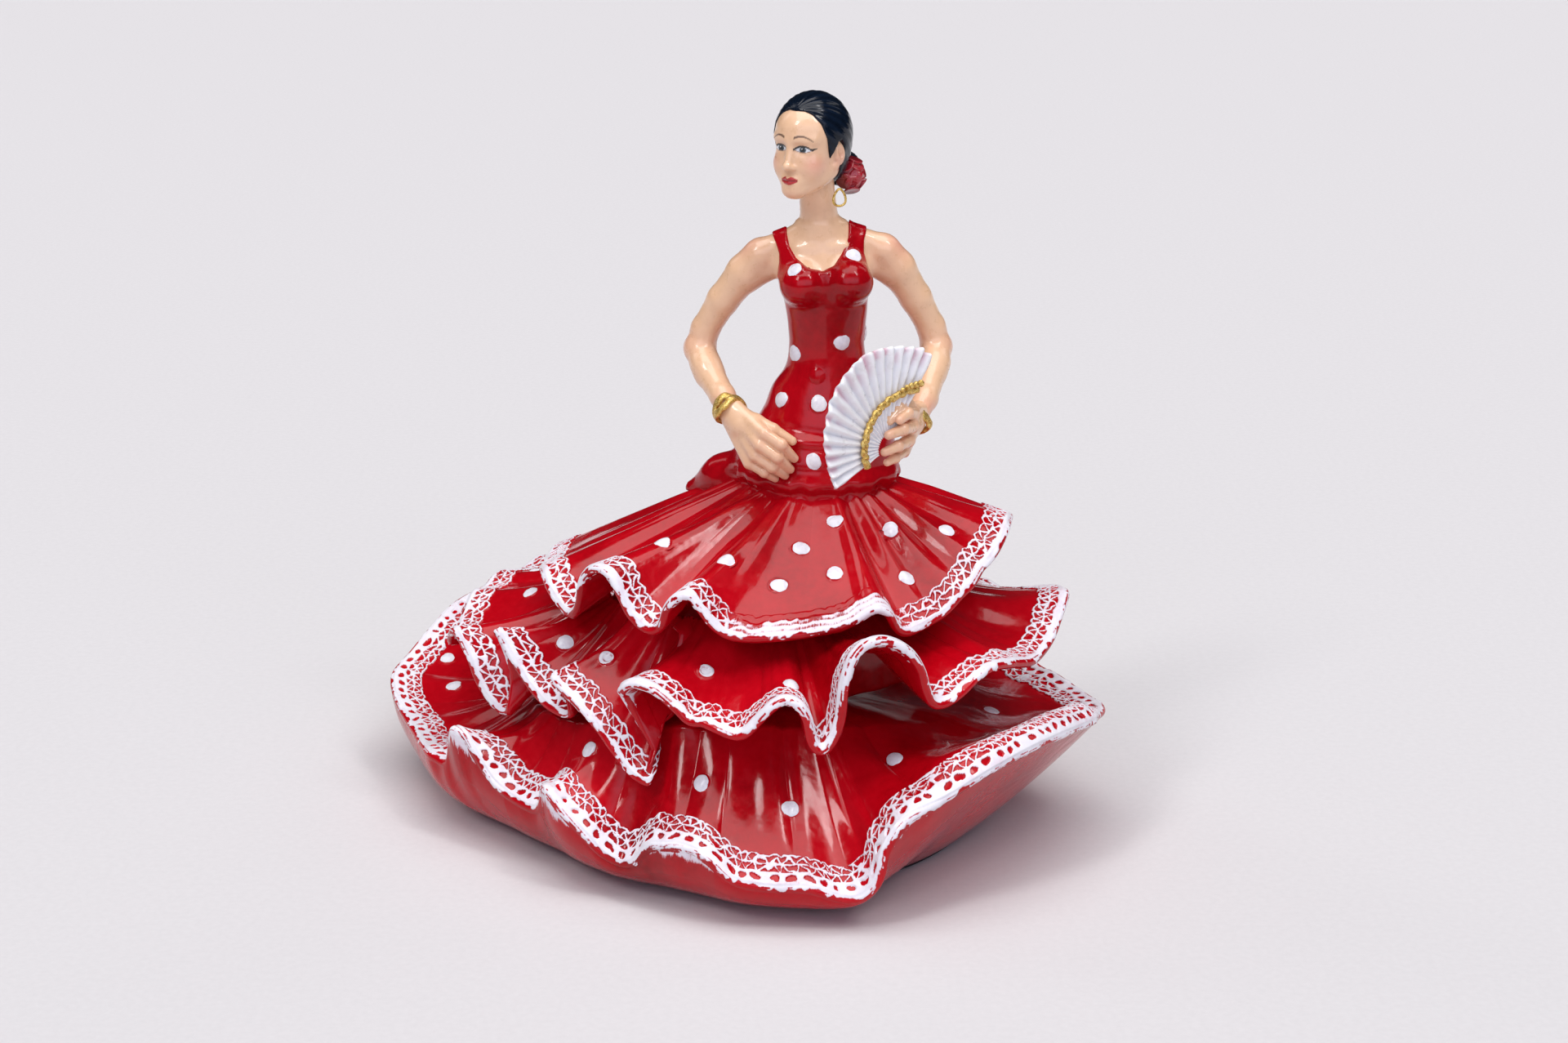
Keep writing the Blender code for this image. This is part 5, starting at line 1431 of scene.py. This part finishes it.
def fan_ribbon():
    a = np.linspace(57, 200, 220)
    r = band_at(a) - 0.1 + 0.15 * np.sin(a / 2.1)
    lift = 1.55 + 0.12 * np.sin(a / 1.3)
    path = fan_point(a, r, lift)
    tan = np.gradient(path, axis=0)
    tan /= np.linalg.norm(tan, axis=1, keepdims=True)
    up = np.broadcast_to(FAN_R @ np.array([0, -1.0, 0]), tan.shape)
    right = np.cross(tan, up)
    right /= np.linalg.norm(right, axis=1, keepdims=True)
    for k, deg in enumerate((59, 64, 69, 74, 79.5)):
        c = fan_point(np.array(float(deg)), band_at(deg) + 1.45 - 0.12 * k, 2.15)
        add_net("fan_gold_petal_%d" % (k + 1), lambda q, c=c, k=k: ellipsoid(q, c, (0.80 - 0.07 * k, 0.60, 0.80 - 0.07 * k)) + 0.06 * noise3(q, 0.5, 3), c - 1.3, c + 1.3, 0.12, MAT_GOLD)
    sweep("fan_band_gold", path, right, up.copy(), 0.80 + 0.08 * np.sin(a / 1.7), 0.60, MAT_GOLD, ("fan_band",), closed_path=False)


fan_ribbon()

# ================================================================ raised dots
def tree(name):
    me = PIECES[name].data
    n = len(me.vertices)
    co = np.empty(n * 3, np.float32)
    me.vertices.foreach_get("co", co)
    co = co.reshape(-1, 3) * 1000.0 - SHIFT
    return BVHTree.FromPolygons([Vector(c) for c in co.tolist()], [tuple(q.vertices) for q in me.polygons])


def make_dots(name, surface, places, replaces=()):
    """Domed discs following the surface.  Each place: point, and how much of the bump the white paint covers."""
    bvh = tree(surface)
    r = np.random.default_rng(len(places) * 13 + 5)
    V, F, T, P = [], [], [], []
    rings, sides = 15, 44
    count = 0
    for point, kind in places:
        at, nrm, _, _ = bvh.find_nearest(Vector(point))
        # even out the normal over the width of the dot
        acc = Vector(nrm)
        s = acc.orthogonal().normalized()
        t = acc.cross(s).normalized()
        for k in range(8):
            q = at + (s * math.cos(k * math.pi / 4) + t * math.sin(k * math.pi / 4)) * 1.3
            _, n2, _, d2 = bvh.find_nearest(q)
            if n2 and d2 < 1.5:
                acc = acc + n2 * 0.6
        nrm = acc.normalized()
        s = Vector((0, 0, 1)).cross(nrm).normalized()
        t = nrm.cross(s).normalized()
        turn, off = r.uniform(0, 2 * math.pi), r.uniform(0.10, 0.45)
        if kind == "shifted":
            turn, off = math.radians(200), 0.95
        c2 = np.array([math.cos(turn), math.sin(turn)]) * off
        wob = r.uniform(0, 2 * math.pi, 3)
        R = 2.55
        start = count
        for i in range(rings):
            rad = R * ((i + 0.35) / (rings - 0.65)) if i else 0.0
            for j in range(sides if i else 1):
                a = 2 * math.pi * j / sides
                dx, dy = rad * math.cos(a), rad * math.sin(a)
                probe = at + s * dx + t * dy
                hit, _, _, _ = bvh.ray_cast(probe + nrm * 2.2, -nrm, 5.0)
                if hit is None:
                    hit, _, _, _ = bvh.find_nearest(probe)
                base = (hit - probe).dot(nrm)
                base = max(-0.9, min(0.9, base))
                bump_h = 0.42 * max(0.0, 1 - (rad / 1.85) ** 2) ** 0.8
                px, py = dx - c2[0], dy - c2[1]
                pr, pa = math.hypot(px, py), math.atan2(py, px)
                edge = 1.80 + 0.10 * math.sin(2 * pa + wob[0]) + 0.06 * math.sin(3 * pa + wob[1]) + 0.03 * math.sin(7 * pa + wob[2])
                if kind == "ring":
                    edge = 1.62 + 0.05 * math.sin(3 * pa + wob[1])
                p = float(np.clip((edge - pr) / 0.16 + 0.5, 0, 1))
                if kind == "ring":
                    bump_h = 0.30 * math.exp(-((rad - 1.35) / 0.42) ** 2) + 0.12 * math.exp(-(rad / 0.6) ** 2)
                if kind == "bare":
                    p = 0.0
                lift = bump_h + 0.07 * p
                if i == rings - 1:
                    lift = -0.16
                V.append(probe + nrm * (base + lift))
                P.append(p * (0.55 if kind == "ring" and 0.75 < rad < 1.15 else 1.0))
                count += 1
        for j in range(sides):
            T.append((start, start + 1 + j, start + 1 + (j + 1) % sides))
        for i in range(1, rings - 1):
            b0, b1 = start + 1 + (i - 1) * sides, start + 1 + i * sides
            for j in range(sides):
                F.append((b0 + j, b1 + j, b1 + (j + 1) % sides, b0 + (j + 1) % sides))
        V.append(at - nrm * 0.7)
        P.append(0.0)
        last = start + 1 + (rings - 2) * sides
        for j in range(sides):
            T.append((count, last + (j + 1) % sides, last + j))
        count += 1
    return build(name, np.array([tuple(v) for v in V]), np.array(F), MAT_DOT_ENAMEL, replaces, attrs={"paint": np.array(P)}, tris=np.array(T))


def on_tier(f, spots):
    """Points of a tier from bearings about its seam and shares of the way to the hem."""
    out = []
    ang = np.degrees(f.ang)
    for bearing, t, *kind in spots:
        j = int(np.argmin(np.abs((ang - bearing + 180) % 360 - 180)))
        p = f.at([t])[0, j]
        out.append((tuple(p), kind[0] if kind else "full"))
    return out


# bearing, share of the way to the hem
DOTS_UPPER = [(-138, 0.64), (-118, 0.62), (-98, 0.39), (-102, 0.65), (-82, 0.24), (-86, 0.62), (-57, 0.36), (-62, 0.68), (-37, 0.62, "shifted"),
              (28, 0.62), (48, 0.36), (68, 0.64), (90, 0.38), (110, 0.64), (132, 0.40), (150, 0.66)]
DOTS_MIDDLE = [(-134.5, 0.50, "ring"), (-153, 0.55), (-105.5, 0.48, "ring"), (-87, 0.71), (165, 0.56),
               (22, 0.70), (42, 0.48), (62, 0.72), (84, 0.48), (104, 0.72), (126, 0.48), (146, 0.74)]
DOTS_LOWER = [(150, 0.78), (159, 0.62), (-131, 0.23), (-100.5, 0.37), (-82.5, 0.44), (-60, 0.36), (-10, 0.16), (17, 0.78),
              (40, 0.50), (56, 0.76), (74, 0.50), (92, 0.76), (110, 0.50), (126, 0.76)]
DOTS_BODICE = [((13.8, -7.5, 128.8), "shifted"), ((26.3, -3.2, 130.8), "shifted"), ((12.9, -2.6, 108.9), "full"), ((23.2, -5.9, 112.0), "full"),
               ((10.4, -5.4, 98.8), "full"), ((18.3, -9.0, 98.7), "full"), ((18.0, -13.6, 87.6), "shifted"), ((18.0, -6.8, 104.8), "bare"),
               ((33.5, 2.0, 92.0), "full"), ((28.6, 1.5, 112.5), "full"), ((24.0, 8.0, 106.0), "full"), ((16.0, 8.0, 114.5), "full"),
               ((14.0, 10.0, 98.5), "full"), ((26.5, 11.0, 95.5), "full"), ((20.0, 13.5, 88.5), "full"), ((20.5, 8.0, 122.5), "full")]
MAT_DOT_ENAMEL = enamel("red_enamel_dotted", painted="paint", solid=True)
make_dots("dots_upper", "skirt_upper_flounce", on_tier(upper, DOTS_UPPER))
make_dots("dots_middle", "skirt_middle_flounce", on_tier(middle, DOTS_MIDDLE))
make_dots("dots_lower", "skirt_lower_flounce", on_tier(lower, DOTS_LOWER))
make_dots("dots_bodice", "dress_bodice", DOTS_BODICE)

# ================================================================ inside of the skirt, and the felt under it
CORE = smooth_table([(38.0, 5.0, 0, 38.0, 32.5), (46.0, 6.5, 0, 36.5, 31.0), (52.0, 8.0, 0, 35.0, 29.2), (62.0, 11.5, 0, 29.6, 24.6),
                     (70.0, 15.5, 0, 21.6, 17.6), (77.5, 17.5, 0.4, 15.4, 12.6)], 60)


def make_core():
    zz, c = CORE
    a = np.linspace(0, 2 * math.pi, 160, endpoint=False)
    ripple = 1 + 0.012 * np.sin(9 * a) + 0.008 * np.sin(23 * a + 1)
    grid = np.stack([c[:, 0:1] + c[:, 2:3] * np.cos(a) * ripple, c[:, 1:2] + c[:, 3:4] * np.sin(a) * ripple, np.broadcast_to(zz[:, None], (len(zz), 160))], -1)
    v = grid.reshape(-1, 3)
    n = len(v)
    v = np.concatenate([v, [[c[0, 0], c[0, 1], zz[0]], [c[-1, 0], c[-1, 1], zz[-1]]]])
    j = np.arange(160)
    last = n - 160
    t = np.concatenate([np.stack([np.full(160, n), (j + 1) % 160, j], 1), np.stack([np.full(160, n + 1), last + j, last + (j + 1) % 160], 1)])
    build("skirt_core_inner", v, quads(len(zz), 160), MAT_RED, ("skirt_core",), tris=t)


def felt_mat():
    m, nt, b = new_mat("black_felt")
    p = coords(nt)
    n = noise_tex(nt, p, 1.4, 5.0, 0.7)
    c = ramp(nt, [(0.3, (0.012, 0.012, 0.014)), (0.7, (0.034, 0.033, 0.036))])
    nt.links.new(n, c.inputs[0])
    nt.links.new(c.outputs[0], b.inputs["Base Color"])
    nt.links.new(bump(nt, n, 0.6, 0.0002), b.inputs["Normal"])
    b.inputs["Roughness"].default_value = 0.95
    return m


def make_felt():
    even = blur(lower.hem, 11.0, lower.step)[::5, :2]
    n = len(even)
    foot = 1.0 + (even - 1.0) * 0.655
    rows = []
    for scale, z in ((0.985, 0.0), (1.0, 0.12), (1.0, 0.62), (0.985, 0.75)):
        rows.append(np.concatenate([1.0 + (foot - 1.0) * scale, np.full((n, 1), z)], 1))
    v = np.concatenate(rows)
    mid = foot.mean(0)
    v = np.concatenate([v, [[mid[0], mid[1], 0.0], [mid[0], mid[1], 0.75]]])
    j = np.arange(n)
    last = 3 * n
    t = np.concatenate([np.stack([np.full(n, 4 * n), (j + 1) % n, j], 1), np.stack([np.full(n, 4 * n + 1), last + j, last + (j + 1) % n], 1)])
    build("felt_underside", v, quads(4, n), felt_mat(), ("felt_pad",), tris=t)


make_core()
make_felt()

# ================================================================ stage, light, camera
def floor_mat():
    m, nt, b = new_mat("pale_floor")
    p = coords(nt)
    n = noise_tex(nt, p, 0.6, 4.0, 0.6)
    r = ramp(nt, [(0.3, (0.660, 0.645, 0.650)), (0.7, (0.690, 0.675, 0.680))])
    nt.links.new(n, r.inputs[0])
    nt.links.new(r.outputs[0], b.inputs["Base Color"])
    b.inputs["Roughness"].default_value = 0.9
    b.inputs["Specular IOR Level"].default_value = 0.1
    return m


def make_floor():
    rows = []
    for yy, zz in [(-40000, 0), (600, 0), (40000, 0)]:
        rows.append([(-40000, yy, zz), (40000, yy, zz)])
    v = np.array(rows, float).reshape(-1, 3) * 0.001
    me = bpy.data.meshes.new("floor")
    me.from_pydata(v.tolist(), [], [(2 * i, 2 * i + 1, 2 * i + 3, 2 * i + 2) for i in range(len(rows) - 1)])
    me.materials.append(floor_mat())
    o = bpy.data.objects.new("floor", me)
    bpy.context.scene.collection.objects.link(o)


make_floor()


def studio():
    """Soft boxes painted on the surroundings, so the pale floor is lit evenly."""
    world = bpy.data.worlds.new("studio")
    bpy.context.scene.world = world
    world.use_nodes = True
    nt = world.node_tree
    bg = nt.nodes["Background"]
    tc = nt.nodes.new("ShaderNodeTexCoord")
    d = tc.outputs["Generated"]

    def dot(vec):
        m = nt.nodes.new("ShaderNodeVectorMath")
        m.operation = "DOT_PRODUCT"
        nt.links.new(d, m.inputs[0])
        m.inputs[1].default_value = vec
        return m.outputs["Value"]

    def box(bearing, elevation, half_w, half_h, soft, roll=0.0):
        """1 inside a rectangular box seen in the given direction; sizes are tangents of its half angles."""
        a, e = math.radians(bearing), math.radians(elevation)
        c = Vector((math.cos(a) * math.cos(e), math.sin(a) * math.cos(e), math.sin(e)))
        side = Vector((-math.sin(a), math.cos(a), 0))
        up = c.cross(side)
        r = math.radians(roll)
        side, up = side * math.cos(r) + up * math.sin(r), up * math.cos(r) - side * math.sin(r)
        cd = mathn(nt, "MAXIMUM", dot(c), 0.001)
        s = mathn(nt, "ABSOLUTE", mathn(nt, "DIVIDE", dot(side), cd))
        t = mathn(nt, "ABSOLUTE", mathn(nt, "DIVIDE", dot(up), cd))
        ms = map_range(nt, s, half_w - soft, half_w + soft, 1.0, 0.0)
        mt = map_range(nt, t, half_h - soft, half_h + soft, 1.0, 0.0)
        return mathn(nt, "MULTIPLY", ms, mt)

    def sum_of(boxes, start):
        total = start
        for spec, level in boxes:
            part = mathn(nt, "MULTIPLY", box(*spec), level)
            total = part if total is None else mathn(nt, "ADD", total, part)
        return total

    # warm-white soft boxes, and a weak cooler light from the room
    nt.links.new(sum_of(BOXES, None), bg.inputs["Strength"])
    bg.inputs["Color"].default_value = (1.0, 0.985, 0.985, 1)
    room = nt.nodes.new("ShaderNodeBackground")
    nt.links.new(sum_of(FILL, map_range(nt, dot((0, 1, 0)), -0.10, 0.70, 0.060, 0.020)), room.inputs["Strength"])
    room.inputs["Color"].default_value = (0.84, 0.87, 1.10, 1)
    both_lights = nt.nodes.new("ShaderNodeAddShader")
    nt.links.new(bg.outputs[0], both_lights.inputs[0])
    nt.links.new(room.outputs[0], both_lights.inputs[1])
    out = [k for k in nt.nodes if k.bl_idname == "ShaderNodeOutputWorld"][0]
    nt.links.new(both_lights.outputs[0], out.inputs["Surface"])


# bearing, elevation, half width, half height, softness, roll; brightness
BOXES = [((-90, 85, 0.52, 0.40, 0.03, 0), 3.40),
         ((-135, 46, 0.075, 0.15, 0.015, 0), 15.0),
         ((-38, 54, 0.055, 0.18, 0.015, 0), 15.0),
         ((150, 38, 0.10, 0.24, 0.02, 0), 1.6),
         ((35, 38, 0.08, 0.24, 0.02, 0), 1.3)]
FILL = [((-84, 27, 0.80, 0.26, 0.16, 0), 1.55)]
studio()

tilt = math.radians(17.0)
aim = (np.array([10.8, 0.0, 69.5]) + SHIFT) * 0.001
fwd = np.array([0, math.cos(tilt), -math.sin(tilt)])
cam_data = bpy.data.cameras.new("camera")
cam_data.sensor_width = 36.0
cam_data.lens = 36.0 * 3560 / 1920
cam = bpy.data.objects.new("camera", cam_data)
cam.location = Vector(aim - fwd * 0.650)
cam.rotation_mode = "QUATERNION"
cam.rotation_quaternion = Vector(fwd).to_track_quat("-Z", "Y")
cam_data.clip_start, cam_data.clip_end = 0.01, 20
bpy.context.scene.collection.objects.link(cam)
bpy.context.scene.camera = cam
bpy.context.scene.view_settings.view_transform = "Standard"
